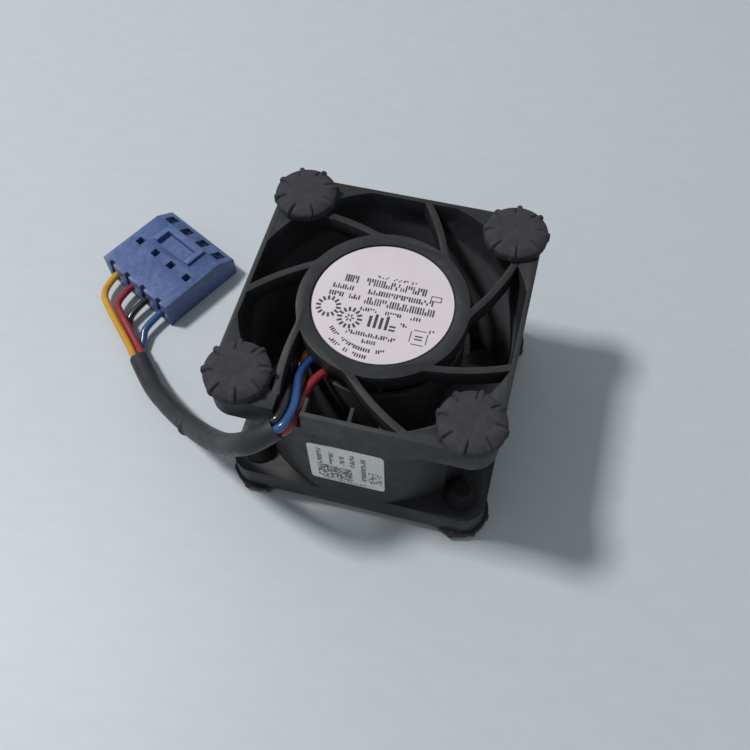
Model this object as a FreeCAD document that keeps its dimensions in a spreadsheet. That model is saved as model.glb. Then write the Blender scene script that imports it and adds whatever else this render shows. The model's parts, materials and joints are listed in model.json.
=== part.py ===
import FreeCAD, Part
import math
import os

import Sketcher
from FreeCAD import Vector

# A 40 mm server fan with rubber isolators and a four-wire lead, in millimetres. Z is the fan's axis and points
# to the outlet side. The ground is z = 0, under the heads of the lower isolators, and X = Y = 0 is the axis.
# The front wall, which the lead leaves over, faces -Y.

doc = FreeCAD.newDocument("ServerFan")

# ---------------------------------------------------------------------------------------------------------
# Driving dimensions: (alias, millimetres or degrees, what it is)
# ---------------------------------------------------------------------------------------------------------
DIMENSIONS = [
    ("head_thickness", 2.0, "rubber head outside each flange"),
    ("frame_side", 40.0, "width and depth of the square flanges"),
    ("frame_height", 28.0, "flange face to flange face"),
    ("flange_thickness", 4.7, "each square flange"),
    ("flange_corner", 3.5, "corner radius of the flanges"),
    ("hole_spacing", 32.0, "between the mounting holes"),
    ("hole_radius", 2.15, "mounting holes"),
    ("duct_wall", 1.6, "wall of the duct, cut flat by the four sides"),
    ("barrel_flare", 3.5, "height of the cone under the outlet flange"),
    ("flare_wall", 2.0, "wall outside the mouth of the outlet, at the top of that cone"),
    ("duct_radius", 19.0, "bore of the duct"),
    ("inlet_radius", 19.4, "mouth of the duct at the inlet"),
    ("inlet_depth", 3.0, "length of the inlet taper"),
    ("outlet_radius", 20.4, "mouth of the duct at the outlet"),
    ("outlet_depth", 5.5, "length of the outlet flare and its collar"),
    ("outlet_collar", 2.2, "straight part at the top of the outlet"),
    ("side_wall", 0.7, "thin wall that closes the flare on the four sides"),
    ("side_wall_width", 14.0, "length of that thin wall"),
    ("motor_base_radius", 12.3, "disc that carries the motor"),
    ("motor_base_thickness", 3.0, "that disc and the struts"),
    ("label_seat_radius", 10.35, "recess for the round label"),
    ("label_seat_depth", 0.25, "depth of that recess"),
    ("boss_radius", 5.4, "shoulder round the bearing tube"),
    ("boss_length", 2.0, "length of the shoulder"),
    ("spigot_radius", 4.9, "thinner end of the boss, inside the circuit board"),
    ("spigot_length", 1.6, "length of that end"),
    ("strut_count", 7, "struts"),
    ("strut_width", 1.0, "thickness of a strut seen from above"),
    ("strut_bend", 35.0, "radius of a strut's centre line"),
    ("strut_centre_reach", 26.6, "from the axis to the centre of that bend"),
    ("strut_centre_angle", 129.7, "direction of that centre for the first strut"),
    ("strut_seat", 0.8, "start of a strut inside the motor base"),
    ("strut_overrun", 0.6, "strut past the outlet's wall, before the sides cut it back"),
    ("strut_root_fillet", 3.0, "wide fillet on the leading side of a strut"),
    ("guide_rib_width", 0.5, "ribs on the front wall that guide the lead"),
    ("guide_rib_reach", 17.0, "inner end of these ribs, from the axis"),
    ("guide_rib_root", 19.6, "outer end of these ribs, from the axis"),
    ("guide_rib_right", 0.3, "middle of the right one, from the axis"),
    ("guide_rib_drop", 0.3, "their top below the outlet face"),
    ("guide_rib_height", 5.0, "these ribs"),
    ("notch_left", 9.9, "left edge of the lead notch, from the axis"),
    ("notch_right", 6.2, "right edge of the lead notch, from the axis"),
    ("notch_depth", 3.5, "depth of the notch below the outlet face"),
    ("notch_inside", 17.6, "inner end of the notch, from the axis"),
    ("overlap", 0.1, "overlap of two parts of one moulding"),
    ("tube_outer", 4.3, "bearing tube, outside"),
    ("tube_inner", 3.5, "bearing tube, bore"),
    ("tube_length", 19.0, "bearing tube"),
    ("race_width", 3.0, "each ball bearing"),
    ("race_inset", 1.0, "from the lower end of the tube to the lower bearing"),
    ("race_gap", 10.0, "between the two bearings"),
    ("shield_thickness", 0.25, "shields at both faces of a bearing"),
    ("shield_gap", 0.1, "between a shield and the inner ring"),
    ("inner_ring_radius", 2.2, "outside of the inner ring"),
    ("ball_radius", 0.6, "bearing balls"),
    ("ball_circle", 2.5, "from the axis to a ball's centre"),
    ("ball_count", 7, "balls in a bearing"),
    ("race_clearance", 0.02, "between a ball and its races"),
    ("shaft_radius", 1.5, "shaft"),
    ("shaft_over_race", 1.6, "shaft above the upper bearing"),
    ("shaft_chamfer", 0.2, "end of the shaft"),
    ("clip_groove_depth", 0.3, "groove for the retaining ring"),
    ("clip_thickness", 0.5, "retaining ring"),
    ("clip_radius", 2.4, "retaining ring, outside"),
    ("clip_gap", 0.1, "between the retaining ring and the upper bearing"),
    ("impeller_bottom", 3.1, "inlet face of the impeller hub above the ground"),
    ("impeller_height", 21.3, "impeller hub"),
    ("hub_radius", 12.1, "impeller hub, outside"),
    ("hub_nose", 1.6, "rounding of the hub's inlet edge"),
    ("hub_nose_break", 0.48, "small flats at both ends of that rounding"),
    ("hub_floor", 1.1, "closed end of the hub"),
    ("cup_radius", 11.2, "steel rotor cup, outside, and the hub's bore"),
    ("cup_wall", 0.7, "rotor cup"),
    ("cup_height", 17.0, "rotor cup"),
    ("magnet_thickness", 1.1, "ring magnet"),
    ("magnet_height", 11.0, "ring magnet"),
    ("magnet_lift", 3.6, "magnet above the cup's floor"),
    ("bush_radius", 3.0, "rotor bush"),
    ("bush_flange", 4.0, "flange of the rotor bush inside the cup"),
    ("bush_flange_height", 0.8, "that flange"),
    ("bush_height", 2.4, "rotor bush above the hub's floor"),
    ("blade_count", 5, "impeller blades"),
    ("blade_tip_radius", 18.5, "impeller over the blade tips"),
    ("blade_thickness", 1.0, "blades"),
    ("blade_bottom", 4.2, "inlet edge of the blades above the ground"),
    ("blade_height", 15.5, "axial length of the blades"),
    ("blade_overrun", 0.6, "tip section beyond the tips, before they are turned down"),
    ("blade_root_plane", 10.3, "from the axis to the root section"),
    ("blade_root_run", 8.4, "width that the root section covers"),
    ("blade_root_bow", 1.5, "camber of the root section"),
    ("blade_tip_run", 15.6, "width that the tip section covers"),
    ("blade_tip_bow", 2.2, "camber of the tip section"),
    ("stator_radius", 9.0, "pole faces of the stator core"),
    ("stator_height", 6.0, "stack of laminations"),
    ("stator_lift", 3.9, "core above the lower end of the bearing tube"),
    ("stator_yoke", 1.3, "ring round the bearing tube"),
    ("pole_width", 2.2, "pole stems"),
    ("shoe_thickness", 0.9, "pole shoes"),
    ("slot_opening", 3.4, "gap between two pole shoes"),
    ("insulator_thickness", 0.8, "end insulators"),
    ("insulator_arm", 3.0, "insulator over a pole stem"),
    ("insulator_rim", 1.2, "height of the insulator's outer rim above its plate"),
    ("insulator_lap", 0.4, "overlap of pole stems and insulator arms with the yoke"),
    ("insulator_rim_wall", 0.6, "thickness of that rim"),
    ("skirt_gap", 0.2, "between a skirt and the pole shoe"),
    ("coil_wall", 1.1, "thickness of the winding round a stem"),
    ("coil_corner", 0.66, "corners of a winding"),
    ("coil_rim_gap", 0.5, "between a winding and the pole shoe"),
    ("coil_clearance", 0.05, "between a winding and what it goes round"),
    ("board_radius", 10.6, "circuit board"),
    ("board_thickness", 0.8, "circuit board"),
    ("wire_radius", 0.65, "each of the four wires, with its insulation"),
    ("sleeve_radius", 1.7, "heat-shrink sleeve"),
    ("head_radius", 4.7, "isolator head"),
    ("head_crown", 3.7, "flat top of the head"),
    ("head_edge", 1.3, "height of the head's straight rim"),
    ("rib_count", 8, "ribs on a head"),
    ("rib_width", 0.7, "ribs"),
    ("rib_foot", 0.3, "lower end of a rib above the flange"),
    ("rib_start", 3.2, "inner end of a rib, from the head's centre"),
    ("rib_end", 5.0, "outer end of a rib, from the head's centre"),
    ("neck_radius", 2.0, "isolator inside the flange hole"),
    ("barb_radius", 2.5, "barb behind the flange"),
    ("barb_side_gap", 0.2, "between a barb and the channel in the barrel"),
    ("barb_height", 2.0, "barb"),
    ("barb_gap", 0.1, "between the barb and the flange"),
    ("shank_radius", 1.6, "pull tail of the isolator"),
    ("upper_tail", 1.0, "tail of an upper isolator below its barb"),
    ("lower_tail", 1.0, "tail of a lower isolator above its barb"),
    ("wire_gap", 0.03, "half of the room between two wires in the sleeve"),
    ("spring_wire", 0.2, "radius of the spring's wire"),
    ("spring_radius", 2.1, "radius of the spring's coil"),
    ("spring_turns", 2.0, "turns of the spring"),
    ("chip_length", 5.0, "driver chip"),
    ("chip_width", 3.8, "driver chip"),
    ("chip_height", 1.2, "driver chip"),
    ("chip_reach", 8.0, "from the axis to the parts on the board"),
    ("sensor_length", 3.0, "Hall sensor"),
    ("sensor_width", 1.5, "Hall sensor"),
    ("sensor_height", 1.3, "Hall sensor"),
    ("sensor_reach", 9.0, "from the axis to the Hall sensor"),
    ("capacitor_length", 2.0, "capacitors"),
    ("capacitor_width", 1.25, "capacitors"),
    ("capacitor_height", 1.1, "capacitors"),
    ("pin_radius", 0.25, "pins between the windings and the board"),
    ("pin_reach", 5.3, "from the axis to a pin"),
    ("contact_floor", 1.5, "closed rear end of a contact"),
    ("plug_wire_reach", 3.8, "from the plug's rear face to the corner of each wire's last bend"),
    ("label_radius", 10.05, "round label"),
    ("label_thickness", 0.2, "round label"),
    ("sticker_left", 5.9, "left edge of the side sticker, from the axis"),
    ("sticker_right", 5.2, "right edge of the side sticker, from the axis"),
    ("sticker_bottom", 10.2, "lower edge of the side sticker above the ground"),
    ("sticker_height", 12.4, "side sticker"),
    ("sticker_thickness", 0.15, "side sticker"),
    ("plug_width", 17.0, "plug housing"),
    ("plug_length", 16.0, "plug housing"),
    ("plug_height", 6.2, "plug housing"),
    ("plug_nose_length", 3.2, "sloped nose of the plug"),
    ("plug_nose_drop", 1.8, "fall of the nose"),
    ("plug_pitch", 4.2, "between two contacts"),
    ("plug_cavity", 2.0, "square contact cavities"),
    ("plug_cavity_height", 2.2, "axis of the cavities above the plug's underside"),
    ("plug_rail_height", 0.6, "rails above the plug's deck"),
    ("plug_field_depth", 0.5, "sunk field between the plug's rails"),
    ("plug_rail_width", 1.0, "rails beside the sunk field"),
    ("plug_rail_start", 8.8, "from the plug's rear face to the rails"),
    ("plug_bar_width", 1.2, "bar in front of the sunk field"),
    ("plug_window", 1.4, "latch windows of the contacts"),
    ("plug_window_place", 6.9, "from the plug's rear face to the middle of these windows"),
    ("nose_window", 1.9, "square windows over the contacts in the sloping nose"),
    ("nose_window_place", 1.7, "from the plug's front face to the middle of a nose window"),
    ("plug_notch_width", 1.1, "small notches over the wires in the plug's rear edge"),
    ("plug_notch_length", 0.7, "these notches"),
    ("plug_x", -48.7, "middle of the plug's rear face"),
    ("plug_y", 10.1, "middle of the plug's rear face"),
    ("plug_turn", -27.7, "turn of the plug about Z"),
    ("contact_width", 1.6, "contacts"),
    ("contact_length", 8.0, "contacts"),
    ("contact_bore", 1.0, "opening of a contact"),
    ("contact_inset", 3.0, "from the plug's rear face to a contact"),
]

sheet = doc.addObject("Spreadsheet::Sheet", "Dims")
for row, (alias, amount, meaning) in enumerate(DIMENSIONS, start=1):
    sheet.set("A%d" % row, alias)
    sheet.set("B%d" % row, str(amount))
    sheet.set("C%d" % row, meaning)
    sheet.setAlias("B%d" % row, alias)
doc.recompute()


class Size:
    """A number that remembers the sheet formula it comes from."""

    def __init__(self, number, text):
        self.number = number
        self.text = text

    def __add__(self, other):
        return Size(self.number + plain(other), "(%s + %s)" % (self.text, formula(other)))

    def __radd__(self, other):
        return Size(plain(other) + self.number, "(%s + %s)" % (formula(other), self.text))

    def __sub__(self, other):
        return Size(self.number - plain(other), "(%s - %s)" % (self.text, formula(other)))

    def __rsub__(self, other):
        return Size(plain(other) - self.number, "(%s - %s)" % (formula(other), self.text))

    def __mul__(self, other):
        return Size(self.number * plain(other), "(%s * %s)" % (self.text, formula(other)))

    def __rmul__(self, other):
        return Size(plain(other) * self.number, "(%s * %s)" % (formula(other), self.text))

    def __truediv__(self, other):
        return Size(self.number / plain(other), "(%s / %s)" % (self.text, formula(other)))

    def __rtruediv__(self, other):
        return Size(plain(other) / self.number, "(%s / %s)" % (formula(other), self.text))

    def __neg__(self):
        return Size(-self.number, "(0 - %s)" % self.text)


def plain(amount):
    """The bare number of a Size or a number."""
    return amount.number if isinstance(amount, Size) else float(amount)


def formula(amount):
    """The sheet formula of a Size, or a number written out."""
    return amount.text if isinstance(amount, Size) else repr(float(amount))


def cosine(angle):
    return Size(math.cos(math.radians(plain(angle))), "cos(%s)" % formula(angle))


def sine(angle):
    return Size(math.sin(math.radians(plain(angle))), "sin(%s)" % formula(angle))


class Dimensions:
    """The sheet's cells by name, each as a Size."""

    def __getattr__(self, alias):
        return Size(float(getattr(sheet, alias)), "Dims." + alias)


size = Dimensions()

# Levels and radii that follow from the driving dimensions.
FRAME_BOTTOM = size.head_thickness
FRAME_TOP = FRAME_BOTTOM + size.frame_height
LOWER_FLANGE_TOP = FRAME_BOTTOM + size.flange_thickness
UPPER_FLANGE_BOTTOM = FRAME_TOP - size.flange_thickness
HALF_SIDE = size.frame_side / 2
BARREL_RADIUS = size.duct_radius + size.duct_wall
FLARE_RADIUS = size.outlet_radius + size.flare_wall
BASE_BOTTOM = FRAME_TOP - size.motor_base_thickness
SHOULDER = BASE_BOTTOM - size.boss_length
TUBE_TOP = BASE_BOTTOM
TUBE_BOTTOM = TUBE_TOP - size.tube_length
LOWER_BEARING = TUBE_BOTTOM + size.race_inset
UPPER_BEARING = LOWER_BEARING + size.race_width + size.race_gap
HUB_CAVITY = size.impeller_bottom + size.hub_floor
CUP_INNER = size.cup_radius - size.cup_wall
CUP_FLOOR = HUB_CAVITY + size.cup_wall
BUSH_TOP = HUB_CAVITY + size.bush_height
STATOR_BOTTOM = TUBE_BOTTOM + size.stator_lift
STATOR_TOP = STATOR_BOTTOM + size.stator_height
BOARD_TOP = SHOULDER
BOARD_BOTTOM = BOARD_TOP - size.board_thickness

finished = []


# ---------------------------------------------------------------------------------------------------------
# Helpers: bodies, sketches and features
# ---------------------------------------------------------------------------------------------------------
def new_body(label):
    body = doc.addObject("PartDesign::Body", label)
    body.Label = label
    finished.append(body)
    return body


def new_sketch(body, name, role, lift=None):
    """An empty sketch on one of the body's own origin planes, lifted along the plane's normal."""
    sketch = body.newObject("Sketcher::SketchObject", name)
    plane = [item for item in body.Origin.OriginFeatures if item.Role == role][0]
    sketch.AttachmentSupport = [(plane, "")]
    sketch.MapMode = "FlatFace"
    if lift is not None:
        sketch.AttachmentOffset = FreeCAD.Placement(Vector(0, 0, plain(lift)), FreeCAD.Rotation())
        sketch.setExpression("AttachmentOffset.Base.z", formula(lift))
    return sketch


def hold(sketch, kind, ends, amount):
    """A dimension between two points of a sketch, bound to the sheet."""
    index = sketch.addConstraint(Sketcher.Constraint(kind, *ends, plain(amount)))
    sketch.setExpression("Constraints[%d]" % index, formula(amount))


def tie(sketch, geometry, end, axis, amount):
    """Holds one end of a line or arc at a distance from the sketch's origin along X or Y."""
    if plain(amount) < 0:
        hold(sketch, "Distance" + axis, (geometry, end, -1, 1), -amount)
    else:
        hold(sketch, "Distance" + axis, (-1, 1, geometry, end), amount)


def outline(body, name, role, corners, lift=None):
    """A closed outline of straight runs whose corners are bound to the sheet."""
    sketch = new_sketch(body, name, role, lift)
    add_outline(sketch, corners)
    return sketch


def add_outline(sketch, corners):
    spots = [Vector(plain(x), plain(y), 0) for x, y in corners]
    first = sketch.GeometryCount
    count = len(spots)
    for index in range(count):
        sketch.addGeometry(Part.LineSegment(spots[index], spots[(index + 1) % count]), False)
    for index in range(count):
        following = first + (index + 1) % count
        sketch.addConstraint(Sketcher.Constraint("Coincident", first + index, 2, following, 1))
    for index, (x, y) in enumerate(corners):
        tie(sketch, first + index, 1, "X", x)
        tie(sketch, first + index, 1, "Y", y)


def add_circle(sketch, radius, x=None, y=None):
    """A circle at the sketch's origin, or at (x, y)."""
    middle = Vector(plain(x or 0), plain(y or 0), 0)
    ring = sketch.addGeometry(Part.Circle(middle, Vector(0, 0, 1), plain(radius)), False)
    if x is None:
        sketch.addConstraint(Sketcher.Constraint("Coincident", ring, 3, -1, 1))
    else:
        tie(sketch, ring, 3, "X", x)
        tie(sketch, ring, 3, "Y", y)
    index = sketch.addConstraint(Sketcher.Constraint("Radius", ring, plain(radius)))
    sketch.setExpression("Constraints[%d]" % index, formula(radius))


def rectangle(left, right, low, high):
    return [(left, low), (right, low), (right, high), (left, high)]


def extrude(body, kind, sketch, length, reverse=False):
    """A Pad or Pocket of the sketch; both go along its normal unless they are reversed."""
    feature = body.newObject("PartDesign::" + kind, sketch.Name + kind)
    feature.Profile = sketch
    feature.Length = plain(length)
    feature.setExpression("Length", formula(length))
    feature.Reversed = reverse if kind == "Pad" else not reverse
    doc.recompute()
    return feature


def pad(body, sketch, length, reverse=False):
    return extrude(body, "Pad", sketch, length, reverse)


def pocket(body, sketch, length, reverse=False):
    return extrude(body, "Pocket", sketch, length, reverse)


def turn(body, kind, name, corners):
    """A Revolution or Groove about Z of an outline given as (radius, height)."""
    return revolve(body, kind, outline(body, name, "XZ_Plane", corners))


def revolve(body, kind, sketch):
    feature = body.newObject("PartDesign::" + kind, sketch.Name + kind)
    feature.Profile = sketch
    feature.ReferenceAxis = (sketch, ["V_Axis"])
    feature.Angle = 360
    doc.recompute()
    return feature


def turned(label, corners):
    """A piece that is one revolved outline."""
    body = new_body(label)
    turn(body, "Revolution", "Section", corners)
    return body


def ring(label, inner, outer, low, high):
    """A plain ring, or a disc where the inner radius is 0."""
    return turned(label, rectangle(inner, outer, low, high))


def repeat(body, features, count):
    """Copies of the features, evenly spaced about Z."""
    pattern = body.newObject("PartDesign::PolarPattern", features[0].Name + "Ring")
    pattern.Originals = features
    axis = [item for item in body.Origin.OriginFeatures if item.Role == "Z_Axis"][0]
    pattern.Axis = (axis, [""])
    pattern.Angle = 360
    pattern.Occurrences = int(round(plain(count)))
    pattern.setExpression("Occurrences", formula(count))
    body.Tip = pattern
    doc.recompute()
    return pattern


def edges_where(shape, test):
    return ["Edge%d" % number for number, edge in enumerate(shape.Edges, start=1) if test(edge)]


def round_edges(body, feature, name, radius, test):
    """A fillet on the edges of the feature that pass the test."""
    fillet = body.newObject("PartDesign::Fillet", name)
    fillet.Base = (feature, edges_where(feature.Shape, test))
    fillet.Radius = plain(radius)
    fillet.setExpression("Radius", formula(radius))
    doc.recompute()
    return fillet


def is_vertical(edge):
    if len(edge.Vertexes) != 2:
        return False
    low, high = (vertex.Point for vertex in edge.Vertexes)
    return math.hypot(high.x - low.x, high.y - low.y) < 1e-6


def place(feature, x=0.0, y=0.0, z=0.0, turn_angle=0.0, axis=Vector(0, 0, 1)):
    """Moves a body and turns it about the axis, bound to the sheet."""
    spot = Vector(plain(x), plain(y), plain(z))
    feature.Placement = FreeCAD.Placement(spot, FreeCAD.Rotation(axis, plain(turn_angle)))
    for name, amount in (("x", x), ("y", y), ("z", z)):
        if isinstance(amount, Size):
            feature.setExpression("Placement.Base." + name, formula(amount))
    if isinstance(turn_angle, Size):
        feature.setExpression("Placement.Rotation.Angle", formula(turn_angle))


# ---------------------------------------------------------------------------------------------------------
# Frame: barrel, flanges, duct, motor base, struts, mounting holes and lead notch
# ---------------------------------------------------------------------------------------------------------
def add_strut(body):
    """One curved strut, from inside the motor base to inside the duct wall."""
    centre_x = size.strut_centre_reach * cosine(size.strut_centre_angle)
    centre_y = size.strut_centre_reach * sine(size.strut_centre_angle)
    inner_reach = size.motor_base_radius - size.strut_seat
    outer_reach = size.outlet_radius + size.strut_overrun
    sketch = new_sketch(body, "StrutOutline", "XY_Plane", BASE_BOTTOM)
    centre = Vector(plain(centre_x), plain(centre_y), 0)
    arcs = []
    for side in (-0.5, 0.5):
        bend = size.strut_bend + side * size.strut_width
        ends = [angle_on_bend(centre, plain(bend), plain(reach)) for reach in (inner_reach, outer_reach)]
        circle = Part.Circle(centre, Vector(0, 0, 1), plain(bend))
        arc = sketch.addGeometry(Part.ArcOfCircle(circle, ends[0], ends[1]), False)
        tie(sketch, arc, 3, "X", centre_x)
        tie(sketch, arc, 3, "Y", centre_y)
        index = sketch.addConstraint(Sketcher.Constraint("Radius", arc, plain(bend)))
        sketch.setExpression("Constraints[%d]" % index, formula(bend))
        hold(sketch, "Distance", (arc, 1, -1, 1), inner_reach)
        hold(sketch, "Distance", (arc, 2, -1, 1), outer_reach)
        arcs.append(arc)
    for end in (1, 2):
        spots = [sketch.getPoint(arc, end) for arc in arcs]
        line = sketch.addGeometry(Part.LineSegment(spots[0], spots[1]), False)
        sketch.addConstraint(Sketcher.Constraint("Coincident", line, 1, arcs[0], end))
        sketch.addConstraint(Sketcher.Constraint("Coincident", line, 2, arcs[1], end))
    return pad(body, sketch, size.motor_base_thickness)


def angle_on_bend(centre, bend, reach):
    """Direction, seen from the bend's centre, of the bend's point that lies at that reach from the axis."""
    offset = math.hypot(centre.x, centre.y)
    along = (reach ** 2 - bend ** 2 - offset ** 2) / (2 * bend)
    return math.atan2(centre.y, centre.x) + math.pi + math.acos(-along / offset)


def make_frame():
    body = new_body("frame")
    flare_start = UPPER_FLANGE_BOTTOM - size.barrel_flare
    turn(body, "Revolution", "Barrel", [
        (0, FRAME_BOTTOM),
        (BARREL_RADIUS, FRAME_BOTTOM),
        (BARREL_RADIUS, flare_start),
        (FLARE_RADIUS, UPPER_FLANGE_BOTTOM),
        (FLARE_RADIUS, FRAME_TOP),
        (0, FRAME_TOP),
    ])
    square = rectangle(-HALF_SIDE, HALF_SIDE, -HALF_SIDE, HALF_SIDE)
    for name, level in (("InletFlange", FRAME_BOTTOM), ("OutletFlange", UPPER_FLANGE_BOTTOM)):
        pad(body, outline(body, name, "XY_Plane", square, level), size.flange_thickness)

    # The four sides cut everything flat, and the flanges' corners are rounded.
    trim = new_sketch(body, "Sides", "XY_Plane", FRAME_BOTTOM)
    add_circle(trim, size.frame_side)
    add_outline(trim, square)
    trimmed = pocket(body, trim, size.frame_height)
    inner_limit = plain(HALF_SIDE) * 1.3
    round_edges(body, trimmed, "FlangeCorners", size.flange_corner,
                lambda edge: is_vertical(edge) and math.hypot(*edge.CenterOfMass[:2]) > inner_limit)

    collar_start = FRAME_TOP - size.outlet_collar
    turn(body, "Groove", "Duct", [
        (0, FRAME_BOTTOM),
        (size.inlet_radius, FRAME_BOTTOM),
        (size.duct_radius, FRAME_BOTTOM + size.inlet_depth),
        (size.duct_radius, FRAME_TOP - size.outlet_depth),
        (size.outlet_radius, collar_start),
        (size.outlet_radius, FRAME_TOP),
        (0, FRAME_TOP),
    ])
    wall = outline(body, "SideWall", "XY_Plane", rectangle(
        -size.side_wall_width / 2, size.side_wall_width / 2, -HALF_SIDE, -HALF_SIDE + size.side_wall),
        FRAME_TOP - size.outlet_depth)
    repeat(body, [pad(body, wall, size.outlet_depth)], 4)

    base = new_sketch(body, "MotorBase", "XY_Plane", BASE_BOTTOM)
    add_circle(base, size.motor_base_radius)
    pad(body, base, size.motor_base_thickness)
    strut = add_strut(body)
    struts = repeat(body, [strut], size.strut_count)

    # The strut ends are cut back to the four sides, and their roots run into the motor base in wide fillets.
    ends = new_sketch(body, "StrutEnds", "XY_Plane", BASE_BOTTOM)
    add_circle(ends, size.frame_side)
    add_outline(ends, square)
    cut_back = pocket(body, ends, size.motor_base_thickness)
    base_radius = plain(size.motor_base_radius)
    roots = round_edges(body, cut_back, "StrutRoots", size.strut_root_fillet,
                        lambda edge: is_vertical(edge) and is_leading_root(edge, base_radius))

    turn(body, "Revolution", "Boss", [
        (size.tube_outer, BASE_BOTTOM + size.overlap),
        (size.tube_outer, SHOULDER - size.spigot_length),
        (size.spigot_radius, SHOULDER - size.spigot_length),
        (size.spigot_radius, SHOULDER),
        (size.boss_radius, SHOULDER),
        (size.boss_radius, BASE_BOTTOM + size.overlap),
    ])
    seat = new_sketch(body, "LabelSeat", "XY_Plane", FRAME_TOP)
    add_circle(seat, size.label_seat_radius)
    pocket(body, seat, size.label_seat_depth, reverse=True)

    hole = new_sketch(body, "MountingHole", "XY_Plane", FRAME_BOTTOM)
    add_circle(hole, size.hole_radius, size.hole_spacing / 2, size.hole_spacing / 2)
    channel = new_sketch(body, "BarbChannel", "XY_Plane", LOWER_FLANGE_TOP)
    add_circle(channel, size.barb_radius + size.barb_side_gap, size.hole_spacing / 2, size.hole_spacing / 2)
    through = pocket(body, hole, size.frame_height)
    between = pocket(body, channel, UPPER_FLANGE_BOTTOM - LOWER_FLANGE_TOP)
    repeat(body, [through, between], 4)

    rib_bottom = FRAME_TOP - size.guide_rib_drop - size.guide_rib_height
    half_rib = size.guide_rib_width / 2
    for name, middle in (("NotchRib", half_rib - size.notch_right), ("FrontRib", size.guide_rib_right)):
        rib = rectangle(middle - half_rib, middle + half_rib, -size.guide_rib_root, -size.guide_rib_reach)
        pad(body, outline(body, name, "XY_Plane", rib, rib_bottom), size.guide_rib_height)

    notch = outline(body, "LeadNotch", "XY_Plane", rectangle(
        -size.notch_left, -size.notch_right, -HALF_SIDE, -size.notch_inside), FRAME_TOP)
    pocket(body, notch, size.notch_depth, reverse=True)


def is_leading_root(edge, base_radius):
    """True for a strut's root edge on the side that the strut leans away from."""
    spot = edge.CenterOfMass
    return abs(math.hypot(spot.x, spot.y) - base_radius) < 0.05 and strut_side(spot) < 0


def strut_side(spot):
    """Negative on the clockwise side of the nearest strut's root, positive on the other side."""
    pitch = 360.0 / plain(size.strut_count)
    centre_angle = math.radians(plain(size.strut_centre_angle))
    reach = plain(size.strut_centre_reach)
    centre = Vector(reach * math.cos(centre_angle), reach * math.sin(centre_angle), 0)
    root_angle = angle_on_bend(centre, plain(size.strut_bend), plain(size.motor_base_radius))
    root_spot = centre + Vector(math.cos(root_angle), math.sin(root_angle), 0) * plain(size.strut_bend)
    first = math.degrees(math.atan2(root_spot.y, root_spot.x))
    offset = math.degrees(math.atan2(spot.y, spot.x)) - first
    return (offset + pitch / 2) % pitch - pitch / 2



# ---------------------------------------------------------------------------------------------------------
# Bearings, shaft and the turning parts
# ---------------------------------------------------------------------------------------------------------
def make_bearing(name, bottom):
    """A shielded ball bearing: outer ring with its shields, inner ring and balls."""
    top = bottom + size.race_width
    middle = bottom + size.race_width / 2
    race = size.ball_radius + size.race_clearance
    outer_bore = size.ball_circle + size.ball_radius / 2
    shield_bore = size.inner_ring_radius + size.shield_gap
    shield = size.shield_thickness
    outer_ring = turned(name + "_bearing_outer_ring", [
        (size.tube_inner, bottom),
        (size.tube_inner, top),
        (shield_bore, top),
        (shield_bore, top - shield),
        (outer_bore, top - shield),
        (outer_bore, bottom + shield),
        (shield_bore, bottom + shield),
        (shield_bore, bottom),
    ])
    inner_ring = ring(name + "_bearing_inner_ring", size.shaft_radius, size.inner_ring_radius, bottom, top)
    for body in (outer_ring, inner_ring):
        track = new_sketch(body, "Track", "XZ_Plane")
        add_circle(track, race, size.ball_circle, middle)
        revolve(body, "Groove", track)
    balls = []
    for number in range(int(plain(size.ball_count))):
        angle = number * (360.0 / size.ball_count)
        ball = doc.addObject("Part::Sphere", "%s_ball_%d" % (name, number + 1))
        ball.setExpression("Radius", formula(size.ball_radius))
        place(ball, size.ball_circle * cosine(angle), size.ball_circle * sine(angle), middle)
        balls.append(ball)
    together(name + "_bearing_balls", balls)


def together(label, pieces):
    """Several separate solids in one node."""
    group = doc.addObject("Part::MultiFuse", label)
    group.Label = label
    group.Shapes = pieces
    finished.append(group)
    doc.recompute()
    return group


def make_shaft():
    groove_bottom = UPPER_BEARING + size.race_width + size.clip_gap
    groove_top = groove_bottom + size.clip_thickness
    top = UPPER_BEARING + size.race_width + size.shaft_over_race
    neck = size.shaft_radius - size.clip_groove_depth
    turned("shaft", [
        (0, HUB_CAVITY),
        (size.shaft_radius, HUB_CAVITY),
        (size.shaft_radius, groove_bottom),
        (neck, groove_bottom),
        (neck, groove_top),
        (size.shaft_radius, groove_top),
        (size.shaft_radius, top - size.shaft_chamfer),
        (size.shaft_radius - size.shaft_chamfer, top),
        (0, top),
    ])
    ring("retaining_ring", neck, size.clip_radius, groove_bottom, groove_top)


def make_spring():
    """The coil spring that presses the lower bearing's inner ring upwards."""
    wire = plain(size.spring_wire)
    low = plain(BUSH_TOP) + wire
    high = plain(LOWER_BEARING) - wire
    radius = plain(size.spring_radius)
    turns = plain(size.spring_turns)
    helix = Part.makeHelix((high - low) / turns, high - low, radius)
    section = Part.Wire([Part.makeCircle(wire, Vector(radius, 0, 0), Vector(0, 1, 0))])
    spring = doc.addObject("Part::Feature", "preload_spring")
    spring.Shape = Part.Wire(helix.Edges).makePipeShell([section], True, True)
    spring.Label = "preload_spring"
    spring.Placement.Base = Vector(0, 0, low)
    finished.append(spring)


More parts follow.
